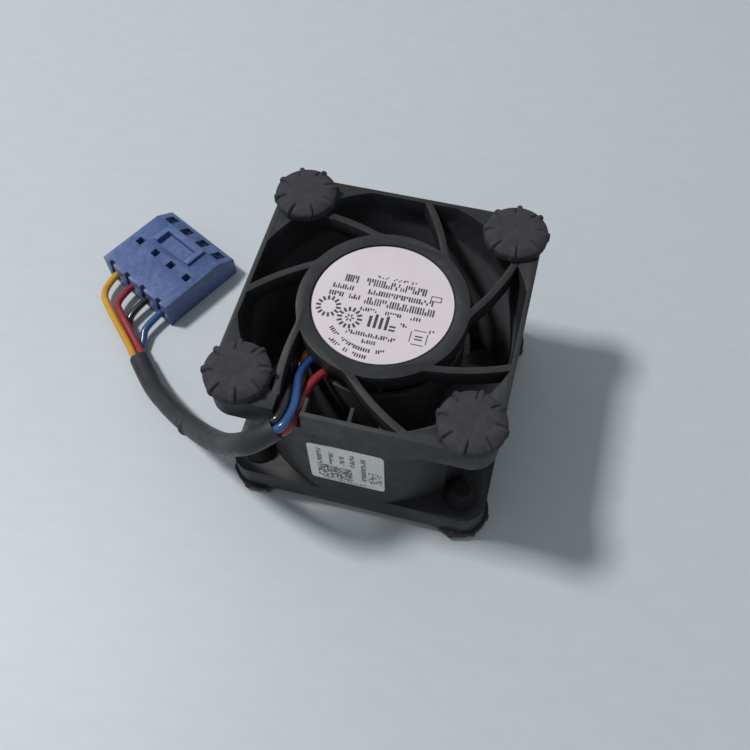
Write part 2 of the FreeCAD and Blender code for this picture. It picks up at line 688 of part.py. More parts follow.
def make_rotor():
    ring("ring_magnet", CUP_INNER - size.magnet_thickness, CUP_INNER,
         CUP_FLOOR + size.magnet_lift, CUP_FLOOR + size.magnet_lift + size.magnet_height)
    cup_top = HUB_CAVITY + size.cup_height
    turned("rotor_cup", [
        (size.bush_radius, HUB_CAVITY),
        (size.cup_radius, HUB_CAVITY),
        (size.cup_radius, cup_top),
        (CUP_INNER, cup_top),
        (CUP_INNER, CUP_FLOOR),
        (size.bush_radius, CUP_FLOOR),
    ])
    turned("rotor_bush", [
        (size.shaft_radius, HUB_CAVITY),
        (size.bush_radius, HUB_CAVITY),
        (size.bush_radius, CUP_FLOOR),
        (size.bush_flange, CUP_FLOOR),
        (size.bush_flange, CUP_FLOOR + size.bush_flange_height),
        (size.bush_radius, CUP_FLOOR + size.bush_flange_height),
        (size.bush_radius, BUSH_TOP),
        (size.shaft_radius, BUSH_TOP),
    ])


def add_blade_section(body, name, reach, run, bow):
    """A cambered blade section on a plane that faces the axis, between two arcs of like bend."""
    sketch = new_sketch(body, name, "XZ_Plane", -reach)
    lean = size.blade_thickness / 2
    low = size.blade_bottom
    high = size.blade_bottom + size.blade_height
    middle = size.blade_bottom + size.blade_height / 2
    arcs = []
    for side in (-1, 1):
        start = (-run / 2 + side * lean, low)
        bowed = (side * lean + bow, middle)
        finish = (run / 2 + side * lean, high)
        spots = [Vector(plain(x), plain(y), 0) for x, y in (start, bowed, finish)]
        arc = sketch.addGeometry(Part.Arc(*spots), False)
        forward = sketch.getPoint(arc, 1).distanceToPoint(spots[0]) < 1e-6
        for end, spot in ((1 if forward else 2, start), (2 if forward else 1, finish)):
            tie(sketch, arc, end, "X", spot[0])
            tie(sketch, arc, end, "Y", spot[1])
        anchor = sketch.addGeometry(Part.Point(spots[1]), True)
        sketch.addConstraint(Sketcher.Constraint("PointOnObject", anchor, 1, arc))
        tie(sketch, anchor, 1, "X", bowed[0])
        tie(sketch, anchor, 1, "Y", bowed[1])
        arcs.append((arc, 1 if forward else 2, 2 if forward else 1))
    for which in (1, 2):
        first, second = arcs[0][which], arcs[1][which]
        line = sketch.addGeometry(Part.LineSegment(
            sketch.getPoint(arcs[0][0], first), sketch.getPoint(arcs[1][0], second)), False)
        sketch.addConstraint(Sketcher.Constraint("Coincident", line, 1, arcs[0][0], first))
        sketch.addConstraint(Sketcher.Constraint("Coincident", line, 2, arcs[1][0], second))
    return sketch


def make_impeller():
    """Hub and twisted blades; the blade tips are turned to one radius."""
    body = new_body("impeller")
    bottom = size.impeller_bottom
    top = bottom + size.impeller_height
    turn(body, "Revolution", "Hub", [
        (0, bottom),
        (size.hub_radius - size.hub_nose, bottom),
        (size.hub_radius - size.hub_nose_break, bottom + size.hub_nose_break),
        (size.hub_radius, bottom + size.hub_nose),
        (size.hub_radius, top),
        (0, top),
    ])
    root_section = add_blade_section(body, "BladeRoot", size.blade_root_plane,
                                     size.blade_root_run, size.blade_root_bow)
    tip_section = add_blade_section(body, "BladeTip", size.blade_tip_radius + size.blade_overrun,
                                    size.blade_tip_run, size.blade_tip_bow)
    blade = body.newObject("PartDesign::AdditiveLoft", "Blade")
    blade.Profile = root_section
    blade.Sections = [tip_section]
    blade.Ruled = False
    doc.recompute()
    repeat(body, [blade], size.blade_count)
    tips = add_ring_sketch(body, "TipCircle", size.blade_tip_radius, size.blade_tip_radius * 1.4, bottom)
    tip_cut = pocket(body, tips, size.impeller_height)
    tip_cut.Refine = False
    cavity = turn(body, "Groove", "Cavity", [
        (0, HUB_CAVITY),
        (size.cup_radius, HUB_CAVITY),
        (size.cup_radius, top),
        (0, top),
    ])
    cavity.Refine = False


# ---------------------------------------------------------------------------------------------------------
# Stator: core, insulators, windings, board
# ---------------------------------------------------------------------------------------------------------
def swung(corners, angle):
    """The corners turned about the sketch's origin by a fixed angle in degrees."""
    along, across = math.cos(math.radians(angle)), math.sin(math.radians(angle))
    return [(x * along - y * across, x * across + y * along) for x, y in corners]


def add_ring_sketch(body, name, inner, outer, lift):
    sketch = new_sketch(body, name, "XY_Plane", lift)
    add_circle(sketch, inner)
    add_circle(sketch, outer)
    return sketch


def make_stator_core():
    body = new_body("stator_core")
    height = size.stator_height
    yoke = size.tube_outer + size.stator_yoke
    shoe_inner = size.stator_radius - size.shoe_thickness
    pad(body, add_ring_sketch(body, "Yoke", size.tube_outer, yoke, STATOR_BOTTOM), height)
    half_pole = size.pole_width / 2
    stem = rectangle(yoke - size.insulator_lap, shoe_inner + size.insulator_lap, -half_pole, half_pole)
    first = pad(body, outline(body, "PoleStem", "XY_Plane", stem, STATOR_BOTTOM), height)
    repeat(body, [first], 4)
    pad(body, add_ring_sketch(body, "PoleShoes", shoe_inner, size.stator_radius, STATOR_BOTTOM), height)
    half_slot = size.slot_opening / 2
    slot = rectangle(shoe_inner - 1, size.stator_radius + 1, -half_slot, half_slot)
    cut = pocket(body, outline(body, "Slot", "XY_Plane", swung(slot, 45), STATOR_BOTTOM), height)
    repeat(body, [cut], 4)


def make_insulator(label, face, upward):
    """Moulded end insulator: plate over the stack, skirts beside the stems and a rim at each pole."""
    body = new_body(label)
    reach = size.stator_radius - size.shoe_thickness
    yoke = size.tube_outer + size.stator_yoke
    half_arm = size.insulator_arm / 2
    half_stem = size.pole_width / 2
    plate = add_ring_sketch(body, "Plate", size.tube_outer, yoke, face)
    pad(body, plate, size.insulator_thickness, not upward)
    lap = size.insulator_lap
    half_rim = size.insulator_rim_wall / 2
    arm = rectangle(yoke - lap, reach + half_rim, -half_arm, half_arm)
    arms = pad(body, outline(body, "Arm", "XY_Plane", arm, face), size.insulator_thickness, not upward)
    rim = rectangle(reach - half_rim, reach + half_rim, -half_arm - lap, half_arm + lap)
    rim_height = size.insulator_thickness + size.insulator_rim
    rims = pad(body, outline(body, "Rim", "XY_Plane", rim, face), rim_height, not upward)
    skirts = []
    for name, low, high in (("LeftSkirt", -half_arm, -half_stem), ("RightSkirt", half_stem, half_arm)):
        skirt = outline(body, name, "XY_Plane", rectangle(yoke, reach - size.skirt_gap, low, high), face)
        skirts.append(pad(body, skirt, size.stator_height / 2, upward))
    repeat(body, [arms, rims] + skirts, 4)


def make_coil(label, angle):
    """One winding round a pole stem and its insulators."""
    body = new_body(label)
    middle = STATOR_BOTTOM + size.stator_height / 2
    gap = size.coil_clearance
    inner_side = size.insulator_arm / 2 + gap
    inner_rise = size.stator_height / 2 + size.insulator_thickness + gap
    outer_side = inner_side + size.coil_wall
    outer_rise = inner_rise + size.coil_wall
    start = size.tube_outer + size.stator_yoke + size.overlap
    finish = size.stator_radius - size.shoe_thickness - size.coil_rim_gap
    sketch = new_sketch(body, "Turns", "YZ_Plane", start)
    corner = size.coil_corner
    add_outline(sketch, [
        (-outer_side + corner, middle - outer_rise),
        (outer_side - corner, middle - outer_rise),
        (outer_side, middle - outer_rise + corner),
        (outer_side, middle + outer_rise - corner),
        (outer_side - corner, middle + outer_rise),
        (-outer_side + corner, middle + outer_rise),
        (-outer_side, middle + outer_rise - corner),
        (-outer_side, middle - outer_rise + corner),
    ])
    add_outline(sketch, rectangle(-inner_side, inner_side, middle - inner_rise, middle + inner_rise))
    pad(body, sketch, finish - start)
    place(body, turn_angle=angle)


# Places round the circuit board, in degrees
SENSOR_ANGLE = 45.0
CAPACITOR_ANGLES = (-20.0, 15.0, 170.0)
FIRST_PIN_ANGLE = 45.0


def block(name, length, width, height, x, y, z, angle=0.0):
    """A box centred on (x, y) that stands on z, turned about Z."""
    box = doc.addObject("Part::Box", name)
    for side, amount in (("Length", length), ("Width", width), ("Height", height)):
        box.setExpression(side, formula(amount))
    along, across = cosine(angle), sine(angle)
    place(box, x - length / 2 * along + width / 2 * across,
          y - length / 2 * across - width / 2 * along, z, angle)
    return box


def make_board():
    ring("circuit_board", size.spigot_radius, size.board_radius, BOARD_BOTTOM, BOARD_TOP)
    chip = block("driver_chip", size.chip_length, size.chip_width, size.chip_height,
                 0, size.chip_reach, BOARD_TOP)
    chip.Label = "driver_chip"
    finished.append(chip)
    sensor = block("hall_sensor", size.sensor_length, size.sensor_width, size.sensor_height,
                   size.sensor_reach * cosine(SENSOR_ANGLE), size.sensor_reach * sine(SENSOR_ANGLE),
                   BOARD_BOTTOM - size.sensor_height, -SENSOR_ANGLE)
    sensor.Label = "hall_sensor"
    finished.append(sensor)
    parts = []
    for number, angle in enumerate(CAPACITOR_ANGLES, start=1):
        parts.append(block("capacitor_%d" % number, size.capacitor_width, size.capacitor_length,
                           size.capacitor_height, size.chip_reach * cosine(angle),
                           size.chip_reach * sine(angle), BOARD_TOP, angle))
    together("board_capacitors", parts)
    pins = []
    foot = STATOR_TOP + size.insulator_thickness
    for number in range(4):
        angle = FIRST_PIN_ANGLE + 90.0 * number
        pin = doc.addObject("Part::Cylinder", "pin_%d" % (number + 1))
        pin.setExpression("Radius", formula(size.pin_radius))
        pin.setExpression("Height", formula(BOARD_BOTTOM - foot))
        place(pin, size.pin_reach * cosine(angle), size.pin_reach * sine(angle), foot)
        pins.append(pin)
    together("winding_pins", pins)


# ---------------------------------------------------------------------------------------------------------
# Labels and rubber isolators
# ---------------------------------------------------------------------------------------------------------
def make_labels():
    base = FRAME_TOP - size.label_seat_depth
    ring("hub_label", 0, size.label_radius, base, base + size.label_thickness)
    body = new_body("side_label")
    face = rectangle(-size.sticker_left, size.sticker_right, size.sticker_bottom,
                     size.sticker_bottom + size.sticker_height)
    pad(body, outline(body, "Face", "XZ_Plane", face, HALF_SIDE), size.sticker_thickness)


def make_isolator(label, tail, x_side, y_side, upper, spin):
    """A pulled-in rubber isolator: ribbed head, neck in the flange hole, barb behind it and a tail."""
    body = new_body(label)
    barb_top = -size.flange_thickness - size.barb_gap
    barb_bottom = barb_top - size.barb_height
    turn(body, "Revolution", "Profile", [
        (0, size.head_thickness),
        (size.head_crown, size.head_thickness),
        (size.head_radius, size.head_edge),
        (size.head_radius, 0),
        (size.neck_radius, 0),
        (size.neck_radius, barb_top),
        (size.barb_radius, barb_top),
        (size.shank_radius, barb_bottom),
        (size.shank_radius, barb_bottom - tail),
        (0, barb_bottom - tail),
    ])
    half_rib = size.rib_width / 2
    rib = outline(body, "Rib", "XY_Plane", rectangle(size.rib_start, size.rib_end, -half_rib, half_rib),
                  size.rib_foot)
    repeat(body, [pad(body, rib, size.head_thickness - size.rib_foot)], size.rib_count)
    reach = size.hole_spacing / 2
    if upper:
        place(body, reach * x_side, reach * y_side, FRAME_TOP, spin)
    else:
        axis = Vector(math.cos(math.radians(spin)), math.sin(math.radians(spin)), 0)
        place(body, reach * x_side, reach * y_side, FRAME_BOTTOM, 180.0, axis)


# ---------------------------------------------------------------------------------------------------------
# Plug: housing and contacts, lying on the ground beside the fan
# ---------------------------------------------------------------------------------------------------------
def contact_places():
    return [size.plug_pitch * step for step in (-1.5, -0.5, 0.5, 1.5)]


def make_plug_housing():
    body = new_body("plug_housing")
    half = size.plug_width / 2
    deck = size.plug_height - size.plug_rail_height
    length = size.plug_length
    pad(body, outline(body, "Block", "XY_Plane", rectangle(-half, half, 0, length)), deck)

    # Two rails and a bar stand on the deck round the sunk field over the middle contacts.
    rail_end = length - size.plug_nose_length
    field = size.plug_pitch - size.plug_rail_width / 2
    rail = size.plug_rail_width
    field_end = rail_end - size.plug_bar_width
    pad(body, outline(body, "Rails", "XY_Plane", [
        (-field - rail, size.plug_rail_start),
        (-field, size.plug_rail_start),
        (-field, field_end),
        (field, field_end),
        (field, size.plug_rail_start),
        (field + rail, size.plug_rail_start),
        (field + rail, rail_end),
        (-field - rail, rail_end),
    ], deck), size.plug_rail_height)
    sunk = rectangle(-field, field, size.plug_rail_start, field_end)
    pocket(body, outline(body, "Field", "XY_Plane", sunk, deck), size.plug_field_depth, reverse=True)

    nose = [(rail_end, deck), (length, deck), (length, deck - size.plug_nose_drop)]
    pocket(body, outline(body, "Nose", "YZ_Plane", nose, -half), size.plug_width)

    cavities = new_sketch(body, "Cavities", "XZ_Plane")
    side = size.plug_cavity / 2
    for middle in contact_places():
        add_outline(cavities, rectangle(middle - side, middle + side,
                                        size.plug_cavity_height - side, size.plug_cavity_height + side))
    pocket(body, cavities, length, reverse=True)

    # Over each contact: a notch in the rear edge, a latch window and a window in the sloping nose.
    notch = size.plug_notch_width / 2
    latch = size.plug_window / 2
    nose_half = size.nose_window / 2
    nose_middle = length - size.nose_window_place
    for name, half_width, start, end in (
            ("RearNotches", notch, 0, size.plug_notch_length),
            ("LatchWindows", latch, size.plug_window_place - latch, size.plug_window_place + latch),
            ("NoseWindows", nose_half, nose_middle - nose_half, nose_middle + nose_half)):
        windows = new_sketch(body, name, "XY_Plane", deck)
        for middle in contact_places():
            add_outline(windows, rectangle(middle - half_width, middle + half_width, start, end))
        pocket(body, windows, deck - size.plug_cavity_height, reverse=True)
    place(body, size.plug_x, size.plug_y, 0, size.plug_turn)


def make_contacts():
    """Four square contacts in the cavities, open towards the mating face."""
    solids = []
    half = size.contact_width / 2
    for number, middle in enumerate(contact_places(), start=1):
        shell = block("contact_%d" % number, size.contact_width, size.contact_length, size.contact_width,
                      middle, size.contact_inset + size.contact_length / 2, size.plug_cavity_height - half)
        bore = block("contact_bore_%d" % number, size.contact_bore, size.contact_length, size.contact_bore,
                     middle, size.contact_inset + size.contact_length / 2 + size.contact_floor,
                     size.plug_cavity_height - size.contact_bore / 2)
        contact = doc.addObject("Part::Cut", "contact_shell_%d" % number)
        contact.Base = shell
        contact.Tool = bore
        solids.append(contact)
    group = together("plug_contacts", solids)
    place(group, size.plug_x, size.plug_y, 0, size.plug_turn)


# ---------------------------------------------------------------------------------------------------------
# Lead: four wires, the sleeve round them and their free ends
# ---------------------------------------------------------------------------------------------------------
def bend_radius(first, second):
    """Radius of the arc between two runs: as large as the shorter of them allows."""
    half_turn = first.getAngle(second) / 2
    return 0.45 * min(first.Length, second.Length) / math.tan(half_turn)


def cord(label, points, radius):
    """A plain tube of straight runs joined by tangent arcs."""
    spots = [Vector(*point) for point in points]
    edges = []
    radii = []
    start = spots[0]
    for before, corner, after in zip(spots, spots[1:], spots[2:]):
        arriving = (corner - before).normalize()
        leaving = (after - corner).normalize()
        # An end run holds one bend only, so the bend may take nearly all of it.
        first = (corner - before) * (2 if before == spots[0] else 1)
        second = (after - corner) * (2 if after == spots[-1] else 1)
        bend = bend_radius(first, second)
        half_turn = arriving.getAngle(leaving) / 2
        reach = bend * math.tan(half_turn)
        begin = corner - arriving * reach
        finish = corner + leaving * reach
        inward = (leaving - arriving).normalize()
        middle = corner + inward * (bend / math.cos(half_turn) - bend)
        edges.append(Part.LineSegment(start, begin).toShape())
        edges.append(Part.Arc(begin, middle, finish).toShape())
        start = finish
        radii.append(round(bend, 1))
    edges.append(Part.LineSegment(start, spots[-1]).toShape())
    path = Part.Wire(edges)
    section = Part.Wire([Part.makeCircle(radius, spots[0], spots[1] - spots[0])])
    tube = doc.addObject("Part::Feature", label)
    tube.Shape = path.makePipeShell([section], True, False)
    tube.Label = label
    finished.append(tube)
    share = tube.Shape.Volume / (math.pi * radius ** 2 * path.Length)
    print("%s: %.1f mm, radii %s, volume over section x length %.4f" % (label, path.Length, radii, share))


def bundle(mouth, inside, side_step, up_step, reaches):
    """Where a wire crosses a mouth of the sleeve, and where it is those reaches outside it."""
    outward = (mouth - inside).normalize()
    side = outward.cross(Vector(0, 0, 1)).normalize()
    up = side.cross(outward)
    step = plain(size.wire_radius) + plain(size.wire_gap)
    centre = mouth + side * (side_step * step) + up * (up_step * step)
    return [tuple(centre + outward * reach) for reach in reaches]


SLEEVE_ROUTE = [
    (-9.0, -21.6, 28.3),
    (-11.3, -23.4, 27.0),
    (-14.4, -23.3, 23.6),
    (-18.6, -21.5, 18.2),
    (-23.8, -18.4, 12.8),
    (-29.6, -14.6, 8.2),
    (-35.0, -10.6, 4.8),
    (-39.4, -7.0, 2.4),
    (-43.3, -2.7, 1.95),
]

# Each wire from the board to the sleeve: points, side and level in the bundle, last run
INNER_WIRES = {
    "yellow": ([(-7.2, -4.6, 25.7), (-9.15, -7.4, 25.72), (-9.1, -10.6, 24.6), (-8.6, -13.6, 25.1),
                (-8.55, -16.0, 26.75), (-8.82, -18.4, 27.42)], -1, -1, 1.05),
    "blue": ([(-5.9, -6.2, 25.7), (-8.2, -8.8, 26.0), (-8.85, -12.2, 27.1), (-7.9, -15.6, 28.45),
              (-7.4, -18.4, 28.95)], 1, 1, 1.6),
    "red": ([(-3.4, -8.4, 25.7), (-5.6, -10.0, 25.75), (-7.1, -12.9, 26.1), (-7.2, -15.8, 26.85),
             (-7.22, -18.4, 27.45)], 1, -1, 1.55),
    "black": ([(-8.6, -3.4, 25.7), (-10.3, -6.4, 25.7), (-10.5, -9.8, 25.5), (-9.65, -12.8, 26.0),
               (-9.25, -15.8, 28.0), (-8.8, -18.4, 28.95)], -1, 1, 1.0),
}

# Each wire from the sleeve to the plug: side and level in the bundle, first run, points, contact number
PLUG_WIRES = {
    "yellow": (-1, 1, 4.0, [(-51.6, 4.7, 2.5)], 0),
    "red": (1, 1, 3.0, [(-49.65, 4.75, 2.62)], 1),
    "black": (-1, -1, 3.5, [(-48.1, 3.2, 0.68)], 2),
    "blue": (1, -1, 1.8, [(-44.3, 1.3, 1.4)], 3),
}


def make_lead():
    wire_radius = plain(size.wire_radius)
    cord("lead_sleeve", SLEEVE_ROUTE, plain(size.sleeve_radius))
    mouth, next_point = Vector(*SLEEVE_ROUTE[0]), Vector(*SLEEVE_ROUTE[1])
    for colour, (points, side, level, last_run) in INNER_WIRES.items():
        arrival = bundle(mouth, next_point, side, level, (last_run, 0.0))
        cord("inner_%s_wire" % colour, points + arrival, wire_radius)
    end, before = Vector(*SLEEVE_ROUTE[-1]), Vector(*SLEEVE_ROUTE[-2])
    turn_angle = math.radians(plain(size.plug_turn))
    along = Vector(-math.sin(turn_angle), math.cos(turn_angle), 0)
    across = Vector(math.cos(turn_angle), math.sin(turn_angle), 0)
    rear = Vector(plain(size.plug_x), plain(size.plug_y), plain(size.plug_cavity_height))
    for colour, (side, level, first_run, points, contact) in PLUG_WIRES.items():
        start = bundle(end, before, side, level, (0.0, first_run))
        entry = rear + across * plain(contact_places()[contact])
        inside = entry + along * plain(size.contact_inset)
        outside = entry - along * plain(size.plug_wire_reach)
        cord("plug_%s_wire" % colour, start + points + [tuple(outside), tuple(inside)], wire_radius)


make_frame()
ring("bearing_tube", size.tube_inner, size.tube_outer, TUBE_BOTTOM, TUBE_TOP)
make_bearing("lower", LOWER_BEARING)
make_bearing("upper", UPPER_BEARING)
make_shaft()
make_spring()
make_rotor()
make_impeller()
make_stator_core()
make_insulator("upper_insulator", STATOR_TOP, True)
make_insulator("lower_insulator", STATOR_BOTTOM, False)
for coil_name, coil_angle in (("right", 0.0), ("back", 90.0), ("left", 180.0), ("front", 270.0)):
    make_coil(coil_name + "_coil", coil_angle)
make_board()
make_labels()
CORNERS = [("front_left", -1, -1, 12.0), ("front_right", 1, -1, 40.0), ("back_left", -1, 1, 25.0),
           ("back_right", 1, 1, 4.0)]
for corner_name, x_sign, y_sign, spin_angle in CORNERS:
    make_isolator("upper_isolator_" + corner_name, size.upper_tail, x_sign, y_sign, True, spin_angle)
    make_isolator("lower_isolator_" + corner_name, size.lower_tail, x_sign, y_sign, False, spin_angle + 9.0)
make_plug_housing()
make_contacts()
make_lead()

# ---------------------------------------------------------------------------------------------------------
# Checks and files
# ---------------------------------------------------------------------------------------------------------
doc.recompute()
for item in doc.Objects:
    if "Invalid" in item.State or "Error" in item.State:
        raise RuntimeError("%s failed: %s" % (item.Label, item.State))
os.makedirs("parts", exist_ok=True)
for item in finished:
    if item.Shape.isNull() or not item.Shape.isValid():
        raise RuntimeError(item.Label + " has no valid shape")
for item in finished:
    item.Shape.exportStep(os.path.join("parts", item.Label + ".step"))
    print(item.Label, len(item.Shape.Solids), round(item.Shape.Volume, 2))
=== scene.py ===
# %% [markdown]
# A small square server fan, from bare shapes to finished surfaces.
# The fan comes from a construction model: a plastic frame, a motor, an impeller, eight rubber isolators and a
# four-wire lead. Here we load that model, keep its places and sizes, and give every piece the surface and the
# finish of the real one. Everything is in metres, so one millimetre is MM.

# %% Load the fan
import json

import bmesh
import bpy
import numpy as np
from mathutils import Matrix, Vector


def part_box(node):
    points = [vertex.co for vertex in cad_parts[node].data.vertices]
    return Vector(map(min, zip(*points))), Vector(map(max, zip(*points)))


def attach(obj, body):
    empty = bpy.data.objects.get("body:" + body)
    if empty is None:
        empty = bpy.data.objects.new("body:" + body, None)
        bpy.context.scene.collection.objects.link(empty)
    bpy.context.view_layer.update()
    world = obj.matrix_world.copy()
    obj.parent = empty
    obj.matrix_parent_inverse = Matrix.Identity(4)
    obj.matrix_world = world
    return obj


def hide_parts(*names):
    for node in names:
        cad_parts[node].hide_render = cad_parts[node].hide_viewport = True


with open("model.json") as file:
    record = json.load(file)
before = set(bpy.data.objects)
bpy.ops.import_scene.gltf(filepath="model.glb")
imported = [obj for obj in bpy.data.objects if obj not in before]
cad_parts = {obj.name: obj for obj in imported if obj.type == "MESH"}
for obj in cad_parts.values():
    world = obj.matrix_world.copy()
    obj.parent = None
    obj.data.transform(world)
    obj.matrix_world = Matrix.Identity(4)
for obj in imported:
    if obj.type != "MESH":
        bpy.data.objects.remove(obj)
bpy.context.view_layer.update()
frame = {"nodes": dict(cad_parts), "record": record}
MM = 0.001
TAU = 2 * np.pi
nodes = frame["nodes"]

# %% [markdown]
# A camera is a place, a direction and a lens. This one stands close, a hand's width above the fan and to its
# front right, so the near corner looks larger than the far one. We build its three axes from two angles and
# a small roll, and put them straight into its matrix, which is plainer than stacking rotations.

# %% Camera
AIM = np.array([-0.43, -3.821, 16.0]) * MM
AZIMUTH, ELEVATION, ROLL = np.radians([16.69, 59.812, -2.337])
DISTANCE = 134.924 * MM
FOCAL_LENGTH = 42.52

towards_camera = np.array([
    np.sin(AZIMUTH) * np.cos(ELEVATION), -np.cos(AZIMUTH) * np.cos(ELEVATION), np.sin(ELEVATION)])
level = np.cross(-towards_camera, [0, 0, 1])
level /= np.linalg.norm(level)
upright = np.cross(level, -towards_camera)
right = level * np.cos(ROLL) + upright * np.sin(ROLL)
up = upright * np.cos(ROLL) - level * np.sin(ROLL)

camera_data = bpy.data.cameras.new("camera")
camera_data.lens = FOCAL_LENGTH
camera_data.sensor_width = 36.0
camera_data.clip_start = 0.005
camera = bpy.data.objects.new("camera", camera_data)
bpy.context.scene.collection.objects.link(camera)
axes = np.eye(4)
axes[:3, :3] = np.stack([right, up, towards_camera], axis=1)
axes[:3, 3] = AIM + towards_camera * DISTANCE
camera.matrix_world = Matrix(axes.tolist())
bpy.context.scene.camera = camera
print("camera stands at, in mm:", np.round(axes[:3, 3] / MM, 1))

# %% [markdown]
# Most pieces below are surfaces worked out by a formula: a grid of points whose two directions are the two
# parameters of the surface. One helper turns such a grid into a mesh. It joins each point to its neighbours
# with four-sided faces, welds points that fall together, as at a pole, and turns the faces outwards.

# %% Grids into meshes
# Points closer than this, in metres, become one.
GRID_WELD = 1e-7


def grid_faces(rows, columns, loop_columns):
    """Four corners per face: each grid point with its next row and next column. The last row meets the first,
    and so does the last column where asked."""
    last_column = columns if loop_columns else columns - 1
    r, c = np.meshgrid(np.arange(rows), np.arange(last_column), indexing="ij")
    r2, c2 = (r + 1) % rows, (c + 1) % columns
    corners = np.stack([r * columns + c, r2 * columns + c, r2 * columns + c2, r * columns + c2], axis=-1)
    return corners.reshape(-1, 4)


def mesh_from(name, points, loop_columns=False, smooth_angle=38):
    """A mesh from a grid of points. Doubles are welded, the faces turned outwards, and the shading is smooth
    but for edges sharper than the angle."""
    rows, columns = points.shape[:2]
    mesh = bpy.data.meshes.new(name)
    mesh.from_pydata(points.reshape(-1, 3), [], grid_faces(rows, columns, loop_columns))
    work = bmesh.new()
    work.from_mesh(mesh)
    bmesh.ops.remove_doubles(work, verts=work.verts, dist=GRID_WELD)
    bmesh.ops.recalc_face_normals(work, faces=work.faces)
    work.to_mesh(mesh)
    work.free()
    mesh.shade_smooth()
    mesh.set_sharp_from_angle(angle=np.radians(smooth_angle))
    return mesh


def add_piece(name, mesh, material, body, stands_for=()):
    """Puts a mesh into the scene with its finish, on the body that it moves with."""
    piece = bpy.data.objects.new(name, mesh)
    bpy.context.scene.collection.objects.link(piece)
    mesh.materials.clear()
    mesh.materials.append(material)
    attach(piece, body)
    if stands_for:
        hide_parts(*stands_for)
    return piece


def rounded_profile(corners, radii, steps):
    """Straight runs through the corners, each inner corner replaced by an arc-like curve of its radius: a
    quadratic Bezier from a point before the corner to a point after it, pulled by the corner."""
    corners = np.asarray(corners, float)
    path = [corners[:1]]
    t = np.linspace(0, 1, steps + 1)[:, None]
    for before, corner, after, size in zip(corners[:-2], corners[1:-1], corners[2:], radii[1:-1]):
        back, on = before - corner, after - corner
        size = min(size, np.linalg.norm(back) * 0.49, np.linalg.norm(on) * 0.49)
        start = corner + back / np.linalg.norm(back) * size
        end = corner + on / np.linalg.norm(on) * size
        path.append((1 - t) ** 2 * start + 2 * t * (1 - t) * corner + t ** 2 * end)
    path.append(corners[-1:])
    return np.concatenate(path)


# %% [markdown]
# Finishes are small networks of nodes. Nearly all of them share one idea: fine noise lifts and sinks the
# surface a few thousandths of a millimetre, broad noise shifts the colour and the gloss a little, and a paler
# tone gathers on the edges: wear that hands and boxes rub, and on the front label a painted highlight. Two
# finishes also carry painted light and shade: a paler tone in the frame's duct and a darker one on the
# isolators between the flanges. The patterns read Object coordinates, so they are fixed in the material as
# they would be in a moulding.

# %% Finishes
# Heights and a reach from the axis, in millimetres.
FRAME_TOP, FRAME_BOTTOM = 30.0, 2.0
DUCT_REACH, STRUT_HEIGHT = 19.0, 26.0


def colour(red, green, blue):
    """A screen colour from 0 to 255, changed to the linear light that shaders mix."""
    c = np.array([red, green, blue]) / 255
    linear = np.where(c <= 0.04045, c / 12.92, ((c + 0.055) / 1.055) ** 2.4)
    return (*linear.tolist(), 1.0)


class Nodes:
    """Short words for adding and wiring the nodes of one material."""

    def __init__(self, name):
        self.material = bpy.data.materials.new(name)
        self.material.use_nodes = True
        self.tree = self.material.node_tree
        self.shader = self.tree.nodes["Principled BSDF"]
        self.place = self.add("ShaderNodeTexCoord").outputs["Object"]

    def add(self, kind, inputs=None, **settings):
        """A new node; each of its inputs is either another node's output or a plain value."""
        node = self.tree.nodes.new(kind)
        for key, value in settings.items():
            setattr(node, key, value)
        for key, value in (inputs or {}).items():
            if isinstance(value, bpy.types.NodeSocket):
                self.tree.links.new(value, node.inputs[key])
            else:
                node.inputs[key].default_value = value
        return node

    def link(self, output, socket):
        """Wires an output to a socket of the material's own shader."""
        self.tree.links.new(output, self.shader.inputs[socket])

    def height(self):
        """How far above the ground a point lies."""
        return self.add("ShaderNodeSeparateXYZ", {"Vector": self.place}).outputs["Z"]

    def noise(self, size_mm, detail, roughness=0.55, stretch=None):
        """Noise whose blotches are about that many millimetres across."""
        where = self.place
        if stretch:
            where = self.add("ShaderNodeMapping", {"Vector": where, "Scale": stretch}).outputs[0]
        settings = {"Vector": where, "Scale": 1 / (size_mm * MM), "Detail": detail, "Roughness": roughness}
        return self.add("ShaderNodeTexNoise", settings).outputs["Fac"]

    def spread(self, value, low, high, out_low, out_high):
        """The value's range from low to high, laid onto another range."""
        settings = {"Value": value, "From Min": low, "From Max": high, "To Min": out_low, "To Max": out_high}
        return self.add("ShaderNodeMapRange", settings).outputs[0]

    def mix(self, factor, first, second):
        """The first colour where the factor is zero, the second where it is one."""
        node = self.add("ShaderNodeMix", data_type="RGBA")
        for key, value in (("Factor", factor), (6, first), (7, second)):
            socket = node.inputs[key]
            if isinstance(value, bpy.types.NodeSocket):
                self.tree.links.new(value, socket)
            else:
                socket.default_value = value
        return node.outputs[2]

    def math(self, operation, first, second=0.0):
        """One sum on two values, such as MULTIPLY."""
        return self.add("ShaderNodeMath", {0: first, 1: second}, operation=operation).outputs[0]

    def bump(self, height, depth_mm):
        """A surface that seems to rise with the height, by that many millimetres at most."""
        settings = {"Height": height, "Distance": depth_mm * MM, "Strength": 1.0}
        return self.add("ShaderNodeBump", settings).outputs[0]

    def edges(self):
        """One on the outer edges and zero on flat ground, from how pointed the mesh is there."""
        pointed = self.add("ShaderNodeNewGeometry").outputs["Pointiness"]
        return self.spread(pointed, 0.51, 0.60, 0.0, 1.0)


